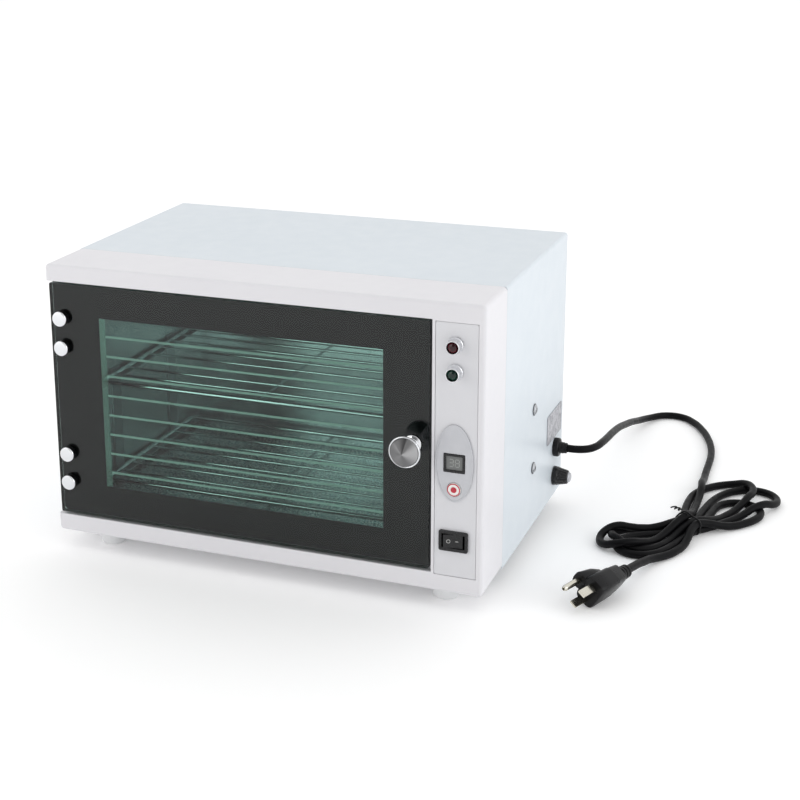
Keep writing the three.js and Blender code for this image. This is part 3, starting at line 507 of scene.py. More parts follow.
def refined(node, material, width):
    """A copy of a CAD node with its sharp edges rounded over."""
    bm = bmesh.new()
    bm.from_mesh(NODES[node].data)
    bmesh.ops.remove_doubles(bm, verts=bm.verts, dist=WELD)
    bmesh.ops.dissolve_limit(bm, angle_limit=math.radians(1), verts=bm.verts, edges=bm.edges)
    ease(bm, width, 2, profile=0.55)
    piece = finish_piece(node + "_fine", bm, material, body_of(node), (node,))
    piece.modifiers.new("even_normals", "WEIGHTED_NORMAL").keep_sharp = True


def rounded(profile, radius):
    """An open profile with its inner corners eased."""
    out = [Vector(profile[0])]
    for before, corner, after in zip(profile, profile[1:], profile[2:]):
        before, corner, after = Vector(before), Vector(corner), Vector(after)
        back, ahead = before - corner, after - corner
        cut = min(radius, CORNER_SHARE * back.length, CORNER_SHARE * ahead.length)
        if corner.x < ON_AXIS or back.angle(ahead) > NEARLY_STRAIGHT:
            out.append(corner)
            continue
        first, last = corner + back.normalized() * cut, corner + ahead.normalized() * cut
        for i in range(CORNER_STEPS + 1):
            t = i / CORNER_STEPS
            out.append(first * (1 - t) ** 2 + corner * 2 * t * (1 - t) + last * t * t)
    out.append(Vector(profile[-1]))
    return out


def basis(direction):
    """Axes whose third one points along the direction."""
    ahead = Vector(direction).normalized()
    helper = Vector((0, 0, 1)) if abs(ahead.z) < 0.9 else Vector((1, 0, 0))
    side = helper.cross(ahead).normalized()
    return Matrix((side, ahead.cross(side), ahead)).transposed().to_4x4()


def lathe(bm, profile, place, sides=64, wobble=None):
    """Spins a profile of [radius, height] pairs, in millimetres, about the place's third axis."""
    rings = []
    for r, h in profile:
        if r < ON_AXIS:
            rings.append([bm.verts.new(place @ Vector((0, 0, h * MM)))])
            continue
        ring = []
        for i in range(sides):
            angle = 2 * math.pi * i / sides
            reach = r + (wobble(angle, r, h) if wobble else 0)
            point = Vector((reach * math.cos(angle), reach * math.sin(angle), h)) * MM
            ring.append(bm.verts.new(place @ point))
        rings.append(ring)
    for low, high in zip(rings, rings[1:]):
        for i in range(sides):
            j = (i + 1) % sides
            corners = [low[i % len(low)], low[j % len(low)], high[j % len(high)], high[i % len(high)]]
            unique = list(dict.fromkeys(corners))
            if len(unique) > 2:
                bm.faces.new(unique)
    return bm


def spun(name, node, axis, profile, material, radius=0.25, sides=64, sharp=40, wobble=None, replace=True):
    """A lathe piece in a CAD node's place: axis names the node's own axis and which way it points."""
    low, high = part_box(node)
    middle = (low + high) / 2
    direction = {"+X": (1, 0, 0), "-Y": (0, -1, 0), "+Z": (0, 0, 1)}[axis]
    base = middle.copy()
    if axis == "+X":
        base.x = low.x
    elif axis == "-Y":
        base.y = high.y
    else:
        base.z = low.z
    bm = lathe(bmesh.new(), rounded(profile, radius) if radius else [Vector(p) for p in profile],
               Matrix.Translation(base) @ basis(direction), sides, wobble)
    return finish_piece(name, bm, material, body_of(node), (node,) if replace else (), sharp)


def block(bm, low, high, place):
    """A box between two corners given in millimetres about the place."""
    low, high = Vector(low) * MM, Vector(high) * MM
    for vert in bmesh.ops.create_cube(bm, size=1)["verts"]:
        vert.co = place @ Vector([high[k] if vert.co[k] > 0 else low[k] for k in range(3)])


def slab(bm, front, back):
    """Closes two matching loops of corners into a solid."""
    bm.faces.new(front)
    bm.faces.new(reversed(back))
    for i in range(len(front)):
        j = (i + 1) % len(front)
        bm.faces.new((front[i], back[i], back[j], front[j]))
    return bm


def outline_plate(bm, outline, y0, y1):
    """A plate whose outline is given in X and Z, from y0 back to y1, in millimetres."""
    front = [bm.verts.new(at(x, y0, z)) for x, z in outline]
    back = [bm.verts.new(at(x, y1, z)) for x, z in outline]
    return slab(bm, front, back)


def ring_plate(bm, outer, inner, y0, y1):
    """A plate with one hole: both outlines have the same number of points."""
    loops = [[bm.verts.new(at(x, y, z)) for x, z in path] for path in (outer, inner) for y in (y0, y1)]
    outer_front, outer_back, inner_front, inner_back = loops
    for i in range(len(outer)):
        j = (i + 1) % len(outer)
        bm.faces.new((outer_front[i], outer_front[j], inner_front[j], inner_front[i]))
        bm.faces.new((outer_back[j], outer_back[i], inner_back[i], inner_back[j]))
        bm.faces.new((outer_front[j], outer_front[i], outer_back[i], outer_back[j]))
        bm.faces.new((inner_front[i], inner_front[j], inner_back[j], inner_back[i]))
    return bm


def holed_plate(bm, outer, holes, y0, y1):
    """A plate with any number of holes, each outline given in X and Z."""
    fronts, backs = [], []
    for path in (outer, *holes):
        front = [bm.verts.new(at(x, y0, z)) for x, z in path]
        back = [bm.verts.new(at(x, y1, z)) for x, z in path]
        for i in range(len(path)):
            j = (i + 1) % len(path)
            bm.faces.new((front[i], back[i], back[j], front[j]))
            fronts.append(bm.edges.get((front[i], front[j])))
            backs.append(bm.edges.get((back[i], back[j])))
    bmesh.ops.triangle_fill(bm, edges=fronts, use_beauty=True)
    bmesh.ops.triangle_fill(bm, edges=backs, use_beauty=True)
    return bm


def oval(cx, cz, rx, rz, count=72):
    angles = [2 * math.pi * i / count for i in range(count)]
    return [(cx + rx * math.cos(angle), cz + rz * math.sin(angle)) for angle in angles]


def soft_rectangle(cx, cz, w, h, r, steps=6):
    """A rectangle with round corners, as an outline."""
    out = []
    for k, (sx, sz) in enumerate(((1, 1), (-1, 1), (-1, -1), (1, -1))):
        for i in range(steps + 1):
            angle = math.pi / 2 * (k + i / steps)
            x, z = cx + sx * (w / 2 - r), cz + sz * (h / 2 - r)
            out.append((x + r * math.cos(angle), z + r * math.sin(angle)))
    return out


# ---------------------------------------------------------------- case
for node, finish, width in (
    ("outer_shell", POWDER, 0.3),
    ("front_bezel", MOULDING, 0.5),
    ("control_panel", INSERT, 0.5),
    ("rear_panel", POWDER, 0.2),
    ("base_pan", ZINC, 0.3),
    ("inner_chamber", LINING, 0.3),
    ("rack_rails_left", ZINC, 0.2),
    ("rack_rails_right", ZINC, 0.2),
    ("upper_hinge_bracket", ZINC, 0.15),
    ("lower_hinge_bracket", ZINC, 0.15),
    ("upper_hinge_leaf", ZINC, 0.15),
    ("lower_hinge_leaf", ZINC, 0.15),
    ("strike_plate", ZINC, 0.3),
    ("magnet_catch", DARK_METAL, 0.5),
    ("lamp_holder_left", WHITE, 0.6),
    ("lamp_holder_right", WHITE, 0.6),
    ("ballast", DARK_METAL, 0.4),
    ("fuse_nut", DULL_BLACK, 0.25),
    ("plug_blade_left", NICKEL, 0.3),
    ("plug_blade_right", NICKEL, 0.3),
):
    refined(node, finish, width)

for node, finish in (
    ("upper_hinge_pin", DARK_METAL),
    ("lower_hinge_pin", DARK_METAL),
    ("knob_screw", ZINC),
    ("fuse_cartridge", NICKEL),
    ("fuse_holder", BLACK),
    ("door_glass", GLASS),
    ("window_stripes", PALE_PRINT),
):
    NODES[node].data.materials.clear()
    NODES[node].data.materials.append(finish)

# The border's outer edges are drawn out to those of the glass.
low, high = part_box("door_border")
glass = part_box("door_glass")
edge_band = 0.05 * MM
bm = bmesh.new()
bm.from_mesh(NODES["door_border"].data)
for vert in bm.verts:
    for axis in (0, 2):
        for k, limit in enumerate((low, high)):
            if abs(vert.co[axis] - limit[axis]) < edge_band:
                vert.co[axis] = glass[k][axis]
finish_piece("border_print", bm, PRINT, body_of("door_border"), ("door_border",))

FOOT = [(0, 0.9), (5.4, 0.9), (6, 0), (8.5, 0), (9.6, 0.5), (10, 1.6), (11, 14.7), (0, 14.7)]
for place in ("front_left", "front_right", "rear_left", "rear_right"):
    spun("foot_pad_" + place, "foot_" + place, "+Z", FOOT, GREY_RUBBER, 0.6)

# ---------------------------------------------------------------- door furniture
# Each profile is a list of radius and height.
KNOB = [(0, 0), (7, 0), (7, 1.4), (4.6, 2.6), (3.8, 6), (4.2, 10), (8.5, 14.6), (11.6, 16.8), (12.2, 18),
        (12.15, 19.1), (11.6, 19.6), (11.1, 19.5), (10.8, 19.1), (10, 19), (0, 19)]
spun("knob_chromed", "door_knob", "-Y", KNOB, CHROME, 0.5, 112, 50)
CONE = [(0, 19.1), (10.7, 19.1), (10.7, 19.75), (7, 21.6), (3.5, 23.4), (1, 24.7), (0, 24.95)]
spun("knob_face", "door_knob", "-Y", CONE, CHROME_PAINTED_REFLECTIONS, 0.3, 112, 60, replace=False)
CAP = [(0, 0), (2, 0), (2, 11.3), (6.2, 11.3), (6.2, 12.4), (5.7, 13.1), (3, 13.25), (0, 13.3)]
# The black ring under each cap's head is a painted dark reflection: it darkens the cap's side as the chrome
# would by reflecting the black border.
CAP_PAINTED_DARK_RING = [(2.2, 7.7), (5.9, 7.7), (5.9, 11.2), (2.2, 11.2), (2.2, 7.7)]
for place in ("upper", "lower"):
    for end in ("top", "bottom"):
        cap = f"{place}_hinge_cap_{end}"
        spun(f"{place}_{end}_cap_chromed", cap, "-Y", CAP, CHROME, 0.3, 72, 50)
        spun(f"{place}_{end}_washer", cap, "-Y", CAP_PAINTED_DARK_RING, RUBBER, 0.25, 56, replace=False)


# ---------------------------------------------------------------- racks and lamp
def rack(node):
    """A wire frame with round corners, level wires across it and one wire under them."""
    low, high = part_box(node)
    low, high = (low - CORNER) / MM, (high - CORNER) / MM
    frame_r, wire_r = 2, 1.2
    bend = 5
    gaps = 8
    z = high.z - frame_r
    left, right, front, back = low.x + frame_r, high.x - frame_r, low.y + frame_r, high.y - frame_r
    path = []
    for sx, sy, start in ((1, 1, 0), (-1, 1, 90), (-1, -1, 180), (1, -1, 270)):
        cx = (right if sx > 0 else left) - sx * bend
        cy = (back if sy > 0 else front) - sy * bend
        for k in range(7):
            angle = math.radians(start + 15 * k)
            path.append((cx + bend * math.cos(angle), cy + bend * math.sin(angle), z))
    bm = bmesh.new()
    sweep(bm, path, frame_r, 14, closed=True)
    for i in range(1, gaps):
        y = front + (back - front) * i / gaps
        sweep(bm, [(left, y, z), (right, y, z)], wire_r, 10)
    middle = (left + right) / 2
    under = z - frame_r + wire_r
    sweep(bm, [(middle, front, under), (middle, back, under)], wire_r, 10)
    finish_piece(node + "_wires", bm, WIRE, body_of(node), (node,), 60)


def sweep(bm, path, radius, sides, closed=False):
    """A round wire along a level path, in millimetres, with flat faces over open ends."""
    points = [at(*p) for p in path]
    rings = []
    for i, point in enumerate(points):
        before = points[i - 1] if closed or i else point
        after = points[(i + 1) % len(points)] if closed or i + 1 < len(points) else point
        ahead = (after - before).normalized()
        axes = basis(ahead)
        ring = []
        for k in range(sides):
            angle = 2 * math.pi * k / sides
            reach = Vector((math.cos(angle), math.sin(angle), 0)) * radius * MM
            ring.append(bm.verts.new(point + axes @ reach))
        rings.append(ring)
    following = rings[1:] + rings[:1] if closed else rings[1:]
    for a, b in zip(rings, following):
        for k in range(sides):
            j = (k + 1) % sides
            bm.faces.new((a[k], a[j], b[j], b[k]))
    if not closed:
        bm.faces.new(reversed(rings[0]))
        bm.faces.new(rings[-1])


rack("upper_rack")
rack("lower_rack")

low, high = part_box("uv_tube")
tube_length = (high.x - low.x) / MM
base_end = 17
END = [(0, 5.5), (7, 5.8), (8, 6.6), (8, 16.5), (7.5, base_end)]
FAR_END = [(r, tube_length - h) for r, h in reversed(END)]
BASE_SLEEVE = [(8.05, 0), (8.05, 11.6), (7.4, 11.7), (7.4, -0.1), (8.05, 0)]
CONTACT_PIN = [(0, 0), (1.1, 0), (1.1, 6), (0, 6)]
spun("lamp_tube", "uv_tube", "+X", END + FAR_END, PHOSPHOR, 0.4, 48)


def along_lamp(distance, offset=0):
    """A place on the tube's line, that far from its left end, with its third axis to the right."""
    centre = Vector((low.x + distance * MM, (low.y + high.y) / 2 + offset * MM, (low.z + high.z) / 2))
    return Matrix.Translation(centre) @ basis((1, 0, 0))


bm = bmesh.new()
for start in (5.4, tube_length - base_end):
    lathe(bm, BASE_SLEEVE, along_lamp(start), 48)
for end in (0, tube_length - 6):
    for offset in (-2.4, 2.4):
        lathe(bm, rounded(CONTACT_PIN, 0.3), along_lamp(end, offset), 16)
finish_piece("lamp_end_caps", bm, ZINC, body_of("uv_tube"), ())


# ---------------------------------------------------------------- control column
def centre_mm(node):
    a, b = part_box(node)
    return (a - CORNER + b - CORNER) / 2 / MM


FASCIA = centre_mm("oval_fascia")
RING = [(4.5, 0), (6, 0), (6, 1.6), (5.5, 2.2), (5.2, 7.8), (4.9, 8.5), (4.5, 8.5), (4.5, 0)]
LENS = [(0, 0), (4.1, 0), (4.1, 20.1), (3.1, 21.5), (1.7, 22.2), (0, 22.4)]
for colour, finish in (("red", RED_LENS), ("green", GREEN_LENS)):
    spun(colour + "_ring_silvered", f"{colour}_lamp_ring", "-Y", RING, BRIGHT, 0.2, 56)
    spun(colour + "_lens_cut", f"{colour}_lamp_lens", "-Y", LENS, finish, 0, 8, 4)

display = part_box("timer_module")
button = centre_mm("timer_button")
panel_x = FASCIA.x
display_z = 103.8
y_front = (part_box("oval_fascia")[0].y - CORNER.y) / MM
y_back = (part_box("oval_fascia")[1].y - CORNER.y) / MM


def fascia():
    """The silver oval with a raised rim, open for the display and the button."""
    outer = oval(panel_x, FASCIA.z, 14.6, 30)
    inner = oval(panel_x, FASCIA.z, 13.5, 28.9)
    rim = ring_plate(bmesh.new(), outer, inner, y_front, y_back)
    finish_piece("oval_rim", ease(rim, 0.2, 2), SILVER, "cabinet", ())
    edge = oval(panel_x, FASCIA.z, 13.45, 28.85)
    window = soft_rectangle(panel_x, display_z, 16.6, 14.8, 0.8)
    button_hole = oval(panel_x, button.z, 5.6, 5.6, 48)
    face = holed_plate(bmesh.new(), edge, (window, button_hole), y_front + 0.22, y_back)
    finish_piece("oval_face", face, SILVER, "cabinet", ("oval_fascia",))


def apply_cut(piece, tool):
    """Cuts the tool's shape out of the piece for good, and drops the tool."""
    modifier = piece.modifiers.new("cut", "BOOLEAN")
    modifier.object = tool
    modifier.operation = "DIFFERENCE"
    modifier.solver = "EXACT"
    bpy.context.view_layer.update()
    evaluated = piece.evaluated_get(bpy.context.evaluated_depsgraph_get())
    mesh = bpy.data.meshes.new_from_object(evaluated)
    piece.modifiers.clear()
    piece.data = mesh
    bpy.data.objects.remove(tool)


fascia()

DISPLAY_FRONT = (display[0].y - CORNER.y) / MM
bm = ring_plate(bmesh.new(), soft_rectangle(panel_x, display_z, 16, 14.2, 0.7),
                soft_rectangle(panel_x, display_z, 12.8, 11, 0.3), DISPLAY_FRONT, DISPLAY_FRONT + 9)
finish_piece("display_frame", ease(bm, 0.2, 2), BLACK, "cabinet", ("timer_module",))
screen = soft_rectangle(panel_x, display_z, 12.9, 11.1, 0.3)
bm = outline_plate(bmesh.new(), screen, DISPLAY_FRONT + 1.1, DISPLAY_FRONT + 2)
finish_piece("display_screen", bm, SCREEN, "cabinet", ())


def digits():
    """Two seven-segment figures that stand 0.1 mm proud of the screen."""
    segments = {"3": "abgcd", "8": "abcdefg"}
    size_w, size_h, thick, gap = 3.0, 5.6, 0.62, 0.2
    bm = bmesh.new()
    for figure, left in (("3", panel_x - 3.9), ("8", panel_x + 0.7)):
        x0, x1 = left, left + size_w
        z0, z1, zm = display_z - size_h / 2, display_z + size_h / 2, display_z
        bars = {
            "a": ((x0, z1), (x1, z1)), "g": ((x0, zm), (x1, zm)), "d": ((x0, z0), (x1, z0)),
            "f": ((x0, zm), (x0, z1)), "b": ((x1, zm), (x1, z1)),
            "e": ((x0, z0), (x0, zm)), "c": ((x1, z0), (x1, zm)),
        }
        for key in segments[figure]:
            (ax, az), (bx, bz) = bars[key]
            run = Vector((bx - ax, bz - az)).normalized()
            off = Vector((-run.y, run.x)) * thick / 2
            a, b = Vector((ax, az)) + run * gap, Vector((bx, bz)) - run * gap
            tip = run * thick / 2
            outline = [a, a + tip + off, b - tip + off, b, b - tip - off, a + tip - off]
            outline_plate(bm, [(p.x, p.y) for p in outline], DISPLAY_FRONT + 1.0, DISPLAY_FRONT + 1.15)
    finish_piece("display_figures", bm, DIGIT, "cabinet", ())


digits()
BUTTON = [(0, 0), (2.4, 0), (2.4, 3), (5.2, 3), (5.2, 7.4), (4.8, 7.9), (3.9, 7.95), (3.9, 7.6), (2, 7.6),
          (2, 8), (0, 8.2)]
RED_RING = [(4.2, -0.5), (5.0, -0.66), (5.0, -0.4), (4.8, -0.24), (4.2, -0.2), (4.2, -0.5)]
RED_DOT = [(0, -0.4), (2.2, -0.4), (2.2, -0.14), (1.9, -0.04), (0, 0)]
spun("button_white", "timer_button", "-Y", BUTTON, WHITE, 0.2, 56)
bm = bmesh.new()
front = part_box("timer_button")[0].y
base = Matrix.Translation(Vector((at(panel_x, 0, 0).x, front, at(0, 0, button.z).z))) @ basis((0, -1, 0))
lathe(bm, rounded(RED_RING, 0.05), base, 56)
lathe(bm, rounded(RED_DOT, 0.08), base, 40)
finish_piece("button_red_marks", bm, RED_INK, body_of("timer_button"), ())


# ---------------------------------------------------------------- switch
def switch():
    """The flat rim on the panel and the dark well behind it."""
    centre = centre_mm("switch_housing")
    y0 = (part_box("switch_housing")[0].y - CORNER.y) / MM
    opening = soft_rectangle(centre.x, centre.z, 18, 11.2, 0.5, 4)
    bm = ring_plate(bmesh.new(), soft_rectangle(centre.x, centre.z, 22.4, 16, 1.4, 4), opening, y0, y0 + 1.5)
    finish_piece("switch_rim", ease(bm, 0.4, 3), BLACK, "cabinet", ("switch_housing",))
    outside = soft_rectangle(centre.x, centre.z, 20.4, 13.2, 0.6, 4)
    bm = ring_plate(bmesh.new(), outside, opening, y0 + 1.5, y0 + 20)
    finish_piece("switch_well", bm, DULL_BLACK, "cabinet", ())


ROCKER_SIDE = [(-8.1, -6.1), (-4, -5.2), (0, -4.9), (3, -5), (6.4, -5.6), (6.2, 0), (2, 3.2), (-2, 3.2),
               (-8.2, 0)]
ROCKER_HALF_HEIGHT = 5.2
ROCKER_RING = [(1.1, 0), (1.5, 0), (1.5, 0.12), (1.1, 0.12), (1.1, 0)]
REST_TILT = math.radians(8)


def rocker():
    """Two finger faces meeting in a valley, with a ring mark on one and a bar on the other."""
    centre = centre_mm("switch_housing")
    turn = Matrix.Translation(at(centre.x, 4, centre.z)) @ Matrix.Rotation(REST_TILT, 4, "Z")
    bm = bmesh.new()
    lower = [bm.verts.new(turn @ (Vector((x, y, -ROCKER_HALF_HEIGHT)) * MM)) for x, y in ROCKER_SIDE]
    upper = [bm.verts.new(turn @ (Vector((x, y, ROCKER_HALF_HEIGHT)) * MM)) for x, y in ROCKER_SIDE]
    body = ease(slab(bm, lower, upper), 0.7, 4, 30)
    finish_piece("rocker_body", body, BLACK, "switch_rocker_body", ("switch_rocker",))
    bm = bmesh.new()
    tilt = Matrix.Rotation(math.radians(11), 4, "Z")
    ring = turn @ Matrix.Translation(Vector((-4.3, -5.33, 0)) * MM) @ tilt @ basis((0, -1, 0))
    lathe(bm, ROCKER_RING, ring, 32)
    bar = turn @ Matrix.Translation(Vector((1.9, -4.98, 0)) * MM) @ Matrix.Rotation(math.radians(-2), 4, "Z")
    block(bm, (-1.2, -0.12, -0.22), (1.2, 0.05, 0.22), bar)
    finish_piece("rocker_marks", bm, PALE_INK, "switch_rocker_body", ())


switch()
rocker()

# ---------------------------------------------------------------- right side
# Each screw head gets a crossed recess, cut in two steps: both cutters at once would empty the mesh.
SCREW_HEAD = [(0, 0), (1.9, 0), (1.9, 8), (4.2, 8), (3.9, 9), (2.9, 9.7), (1.4, 10.05), (0, 10.1)]
# The dark ring round each screw head is a painted shadow of the gap under the head.
SCREW_PAINTED_SHADOW_RING = [(4.1, 8), (4.9, 8), (4.9, 8.35), (4.1, 8.35), (4.1, 8)]
for place in ("upper", "lower"):
    screw = f"side_screw_{place}"
    spun(f"{place}_screw_washer", screw, "+X", SCREW_PAINTED_SHADOW_RING, DARK_METAL, 0.1, 48, replace=False)
    head = spun(f"{place}_screw_head", screw, "+X", SCREW_HEAD, SCREW, 0.2, 48)
    low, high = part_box(screw)
    middle = (low + high) / 2
    for turn in (20, 110):
        face = Matrix.Translation(Vector((high.x, middle.y, middle.z)))
        spin = face @ Matrix.Rotation(math.radians(turn), 4, "X")
        tool = bmesh.new()
        block(tool, (-1.3, -0.42, -2), (1, 0.42, 2), spin)
        mesh = bpy.data.meshes.new("recess")
        tool.to_mesh(mesh)
        tool.free()
        cutter = bpy.data.objects.new("recess", mesh)
        bpy.context.scene.collection.objects.link(cutter)
        apply_cut(head, cutter)

# The label is a rounded plate in Y and Z, on the right side of the case.
LABEL_THICKNESS = 0.35
low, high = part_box("rating_plate")
plate = bmesh.new()
y0, z0 = (low.y - CORNER.y) / MM, (low.z - CORNER.z) / MM
y1, z1 = (high.y - CORNER.y) / MM, (high.z - CORNER.z) / MM
outline = soft_rectangle((y0 + y1) / 2, (z0 + z1) / 2, y1 - y0, z1 - z0, 2, 5)
near = [plate.verts.new(Vector((low.x, at(0, y, 0).y, at(0, 0, z).z))) for y, z in outline]
face_x = low.x + LABEL_THICKNESS * MM
far = [plate.verts.new(Vector((face_x, at(0, y, 0).y, at(0, 0, z).z))) for y, z in outline]
label = ease(slab(plate, near, far), 0.12, 2)
finish_piece("blank_label", label, FOIL, "cabinet", ("rating_plate",))

GLAND = [(0, 0), (5.2, 0), (6, 2), (6, 14), (8, 14), (8, 17.6), (7.2, 18.8), (5.2, 19.2), (5.0, 20.2),
         (4.7, 20.4), (4.7, 21.2), (4.9, 21.4), (4.75, 22.4), (4.45, 22.6), (4.45, 23.4),
         (4.6, 23.6), (4.3, 25), (3.4, 25), (3.4, 20), (0, 20)]
spun("gland_bush", "cable_gland", "+X", GLAND, RUBBER, 0.3, 64)

FUSE_COLLAR = [(0, 0), (2.6, 0), (2.6, 5.4), (7.9, 5.4), (7.9, 7.2), (7.5, 7.6)]
FUSE_TAPER = [(7.4 - 1.6 * i / 10, 8.2 + 7.2 * i / 10) for i in range(11)]
FUSE_FRONT = [(5.2, 15.9), (4.4, 16), (4.4, 15.2), (0, 15.2)]
FUSE_TIP = [(0, 15.3), (4.3, 15.3), (4.3, 16.8), (3.6, 17.7), (2, 18.3), (0, 18.4)]
FLUTES, FLUTE_DEPTH = 14, 0.45


def flutes(angle, r, h):
    """How far the grip of the fuse cap is cut back at an angle, on its tapered part alone."""
    on_grip = 8 < h < 15.8 and r > 5.3
    return -FLUTE_DEPTH * (0.5 + 0.5 * math.cos(FLUTES * angle)) ** 2 if on_grip else 0


FLUTED = FUSE_COLLAR + FUSE_TAPER + FUSE_FRONT
spun("fuse_cap_fluted", "fuse_cap", "+X", FLUTED, BLACK, 0, 140, 50, flutes)
spun("fuse_tip", "fuse_cap", "+X", FUSE_TIP, SILVER, 0.3, 48, replace=False)

# ---------------------------------------------------------------- plug
PLUG_AT = (449, 88.5, -1.9)
PLUG_AHEAD = Vector((-0.36, -0.933, 0)).normalized()
PLUG_ROLL = math.radians(34)
NECK = [(3.3, 0.4), (5.0, 0), (5.3, 0.5), (5.3, 2.2), (4.6, 2.5), (4.6, 3.7), (5.5, 4), (5.5, 5.8),
        (4.8, 6.1), (4.8, 7.3), (5.8, 7.6), (5.8, 9.4), (5.1, 9.7), (5.1, 10.9), (6.6, 11.6),
        (7.2, 14), (0, 14)]
# Sections of the plug: how far along it, half the width, half the height, height of the middle.
GRIP = ((12.5, 6.6, 6.0, 0), (14, 8.6, 7.2, 0), (20, 9.6, 7.8, -0.2), (26, 10.4, 8.1, -0.3),
        (26.8, 11.2, 8.5, -0.3), (36, 11.8, 8.7, -0.3), (48.8, 12.2, 8.7, -0.25), (50, 11.6, 8.1, -0.25))
PIN_LOBE = ((26, 3.6, 2.0, 5.4), (29, 5.4, 4.2, 7.6), (36, 6.4, 5.4, 9.6), (48.8, 6.9, 6.0, 11.2),
            (50, 6.3, 5.4, 11.2))
GRIP_SQUARENESS, LOBE_SQUARENESS = 4.5, 2.6
GRIP_SIDES = 56
EARTH_PIN = [(0, 0), (2.4, 0), (2.4, 17.2), (1.7, 19.2), (1.1, 19.6), (1.1, 15.5), (0, 15.5)]
EARTH_PIN_AT = (0, 50.3, 11.9)


def superellipse(section, squareness, place):
    """The corners of one section of the plug: the higher the squareness, the squarer they lie."""
    along, half_x, half_z, lift = section
    corners = []
    for k in range(GRIP_SIDES):
        c, s = math.cos(2 * math.pi * k / GRIP_SIDES), math.sin(2 * math.pi * k / GRIP_SIDES)
        x = half_x * math.copysign(abs(c) ** (2 / squareness), c)
        z = half_z * math.copysign(abs(s) ** (2 / squareness), s) + lift
        corners.append(place @ (Vector((x, along, z)) * MM))
    return corners


def plug_place():
    """Axes with the second one along the plug and the third one towards its earth pin."""
    level = Vector((-PLUG_AHEAD.y, PLUG_AHEAD.x, 0))
    pin_side = level * -math.cos(PLUG_ROLL) + Vector((0, 0, math.sin(PLUG_ROLL)))
    across = PLUG_AHEAD.cross(pin_side)
    return Matrix.Translation(at(*PLUG_AT)) @ Matrix((across, PLUG_AHEAD, pin_side)).transposed().to_4x4()


def plug():
    place = plug_place()
    bm = bmesh.new()
    spin = place @ Matrix.Rotation(math.radians(-90), 4, "X")
    lathe(bm, [(0, 0.4)] + rounded(NECK, 0.3), spin, 48)
    finish_piece("plug_neck", bm, RUBBER, "cabinet", ())
    bm = bmesh.new()
    for sections, squareness in ((GRIP, GRIP_SQUARENESS), (PIN_LOBE, LOBE_SQUARENESS)):
        rings = []
        for section in sections:
            rings.append([bm.verts.new(corner) for corner in superellipse(section, squareness, place)])
        for a, b in zip(rings, rings[1:]):
            for k in range(GRIP_SIDES):
                j = (k + 1) % GRIP_SIDES
                bm.faces.new((a[k], b[k], b[j], a[j]))
        bm.faces.new(rings[0])
        bm.faces.new(reversed(rings[-1]))
    finish_piece("plug_grip", ease(bm, 0.5, 2, 35), RUBBER, "cabinet", ("plug_body",), 35)
    bm = bmesh.new()
    pin = place @ Matrix.Translation(Vector(EARTH_PIN_AT) * MM) @ Matrix.Rotation(math.radians(-90), 4, "X")
    lathe(bm, rounded(EARTH_PIN, 0.4), pin, 32)
    finish_piece("earth_pin", bm, NICKEL, "cabinet", ("plug_ground_pin",))


plug()

# ---------------------------------------------------------------- tie and cord
# The tie goes round the turns of the hank: another script worked its points out from theirs.
TIE_RING = [
    (473.4, 206.4, 3.8), (470, 207.6, 1.8), (467.2, 208.6, -1.2), (465.3, 209.2, -4.8),
    (466.1, 209, -8.9), (467.2, 208.6, -12.9), (470.7, 207.3, -14), (474.7, 205.9, -14),
    (478.7, 204.5, -14), (482.7, 203, -13.9), (485.8, 201.9, -11.9), (486.5, 201.7, -7.8),
    (487, 201.5, -3.6), (484.6, 202.3, -0.5), (480.9, 203.7, 1), (477.2, 205, 2.5),
]
HANK_MIDDLE = (476, 225.5)
HANK_HEADING = (0.487, 0.873)


def by_hank(along, across, height):
    """A place measured along the hank and across it from its middle, to 0.1 mm."""
    ahead_x, ahead_y = (part / math.hypot(*HANK_HEADING) for part in HANK_HEADING)
    x = HANK_MIDDLE[0] + along * ahead_x + across * ahead_y
    y = HANK_MIDDLE[1] + along * ahead_y - across * ahead_x
    return (round(x, 1), round(y, 1), round(height, 1))


def twisted_ends():
    """The tie's ends, wound round each other away from the top of its ring."""
    points = []
    for i in range(9):
        outward, winding = i / 8, 1.9 * i
        along = -19 - 3 * outward - 1.8 * math.sin(winding)
        across = 4.01 - 7 * outward + 1.2 * math.cos(winding)
        points.append(by_hank(along, across, 4.67 + outward + 1.2 * math.sin(winding + 1)))
    return points


tie = curve_object("wire_tie", TIE_RING, 1.5, closed=True)
ends = curve_object("wire_tie_twist", twisted_ends(), 1.3)
for piece in (tie, ends):
    piece.data.materials.append(RUBBER)
    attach(piece, "cabinet")
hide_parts("cord_tie")

cord.data.materials.append(SHEATH)
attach(cord, "cabinet")
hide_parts("cord_lead", "cord_hank", "cord_tail")


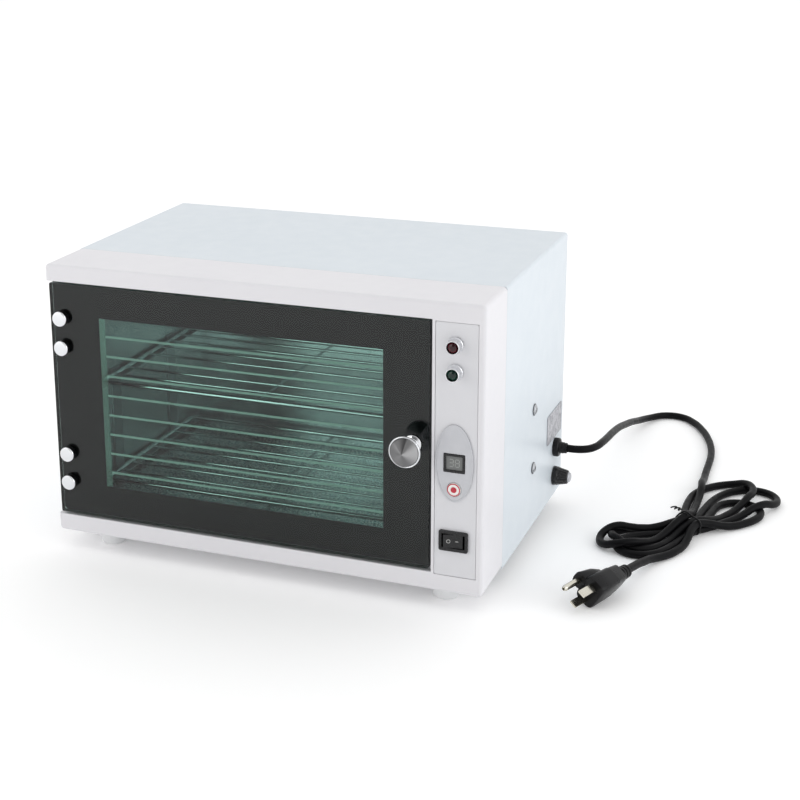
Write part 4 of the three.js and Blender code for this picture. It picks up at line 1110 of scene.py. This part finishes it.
# ---------------------------------------------------------------- floor and light
def floor():
    half_width = 9
    bm = bmesh.new()
    bmesh.ops.create_grid(bm, x_segments=2, y_segments=2, size=half_width)
    mesh = bpy.data.meshes.new("floor")
    bm.to_mesh(mesh)
    bm.free()
    f = Finish("floor", 0.75, Specular_IOR_Level=0.15)
    f.paint(f.noise(260), srgb(252, 252, 252), srgb(254, 254, 254))
    f.set("Emission Color", (1, 1, 1, 1))
    f.set("Emission Strength", 0.1)
    mesh.materials.append(f.material)
    plane = bpy.data.objects.new("floor", mesh)
    bpy.context.scene.collection.objects.link(plane)


def soft_light(name, place, target, size, power, tint):
    data = bpy.data.lights.new(name, "AREA")
    data.shape = "RECTANGLE"
    data.size, data.size_y = size
    data.energy = power
    data.color = tint
    lamp = bpy.data.objects.new(name, data)
    bpy.context.scene.collection.objects.link(lamp)
    lamp.location = place
    lamp.rotation_euler = (Vector(target) - Vector(place)).to_track_quat("-Z", "Y").to_euler()


TENT_LEVEL, ROOM_LEVEL = 1.04, 0.2
OPENING_AHEAD = (-0.15, -0.9, 0.42)
OPENING_RIM, OPENING_CORE = 0.72, 0.93


def studio_world():
    """A white tent that is dimmer where its open front looks onto the room."""
    world = bpy.data.worlds.new("studio")
    world.use_nodes = True
    nodes, links = world.node_tree.nodes, world.node_tree.links
    place = nodes.new("ShaderNodeTexCoord")
    opening = nodes.new("ShaderNodeVectorMath")
    opening.operation = "DOT_PRODUCT"
    opening.inputs[1].default_value = Vector(OPENING_AHEAD).normalized()
    links.new(place.outputs["Generated"], opening.inputs[0])
    level = nodes.new("ShaderNodeMapRange")
    level.interpolation_type = "SMOOTHSTEP"
    set_range(level, TENT_LEVEL, ROOM_LEVEL, OPENING_RIM, OPENING_CORE)
    links.new(opening.outputs["Value"], level.inputs["Value"])
    sky = nodes["Background"]
    sky.inputs["Color"].default_value = (1, 1, 1, 1)
    links.new(level.outputs["Result"], sky.inputs["Strength"])
    bpy.context.scene.world = world


floor()
soft_light("key", (-1.3, -1.7, 0.9), (0, 0, 0.1), (1.4, 1.4), 10, (1, 0.99, 0.98))
soft_light("side", (2.2, -0.4, 0.8), (0.1, 0, 0.1), (1.4, 1.4), 9, (0.96, 0.98, 1))
studio_world()
bpy.context.scene.view_settings.view_transform = "Standard"
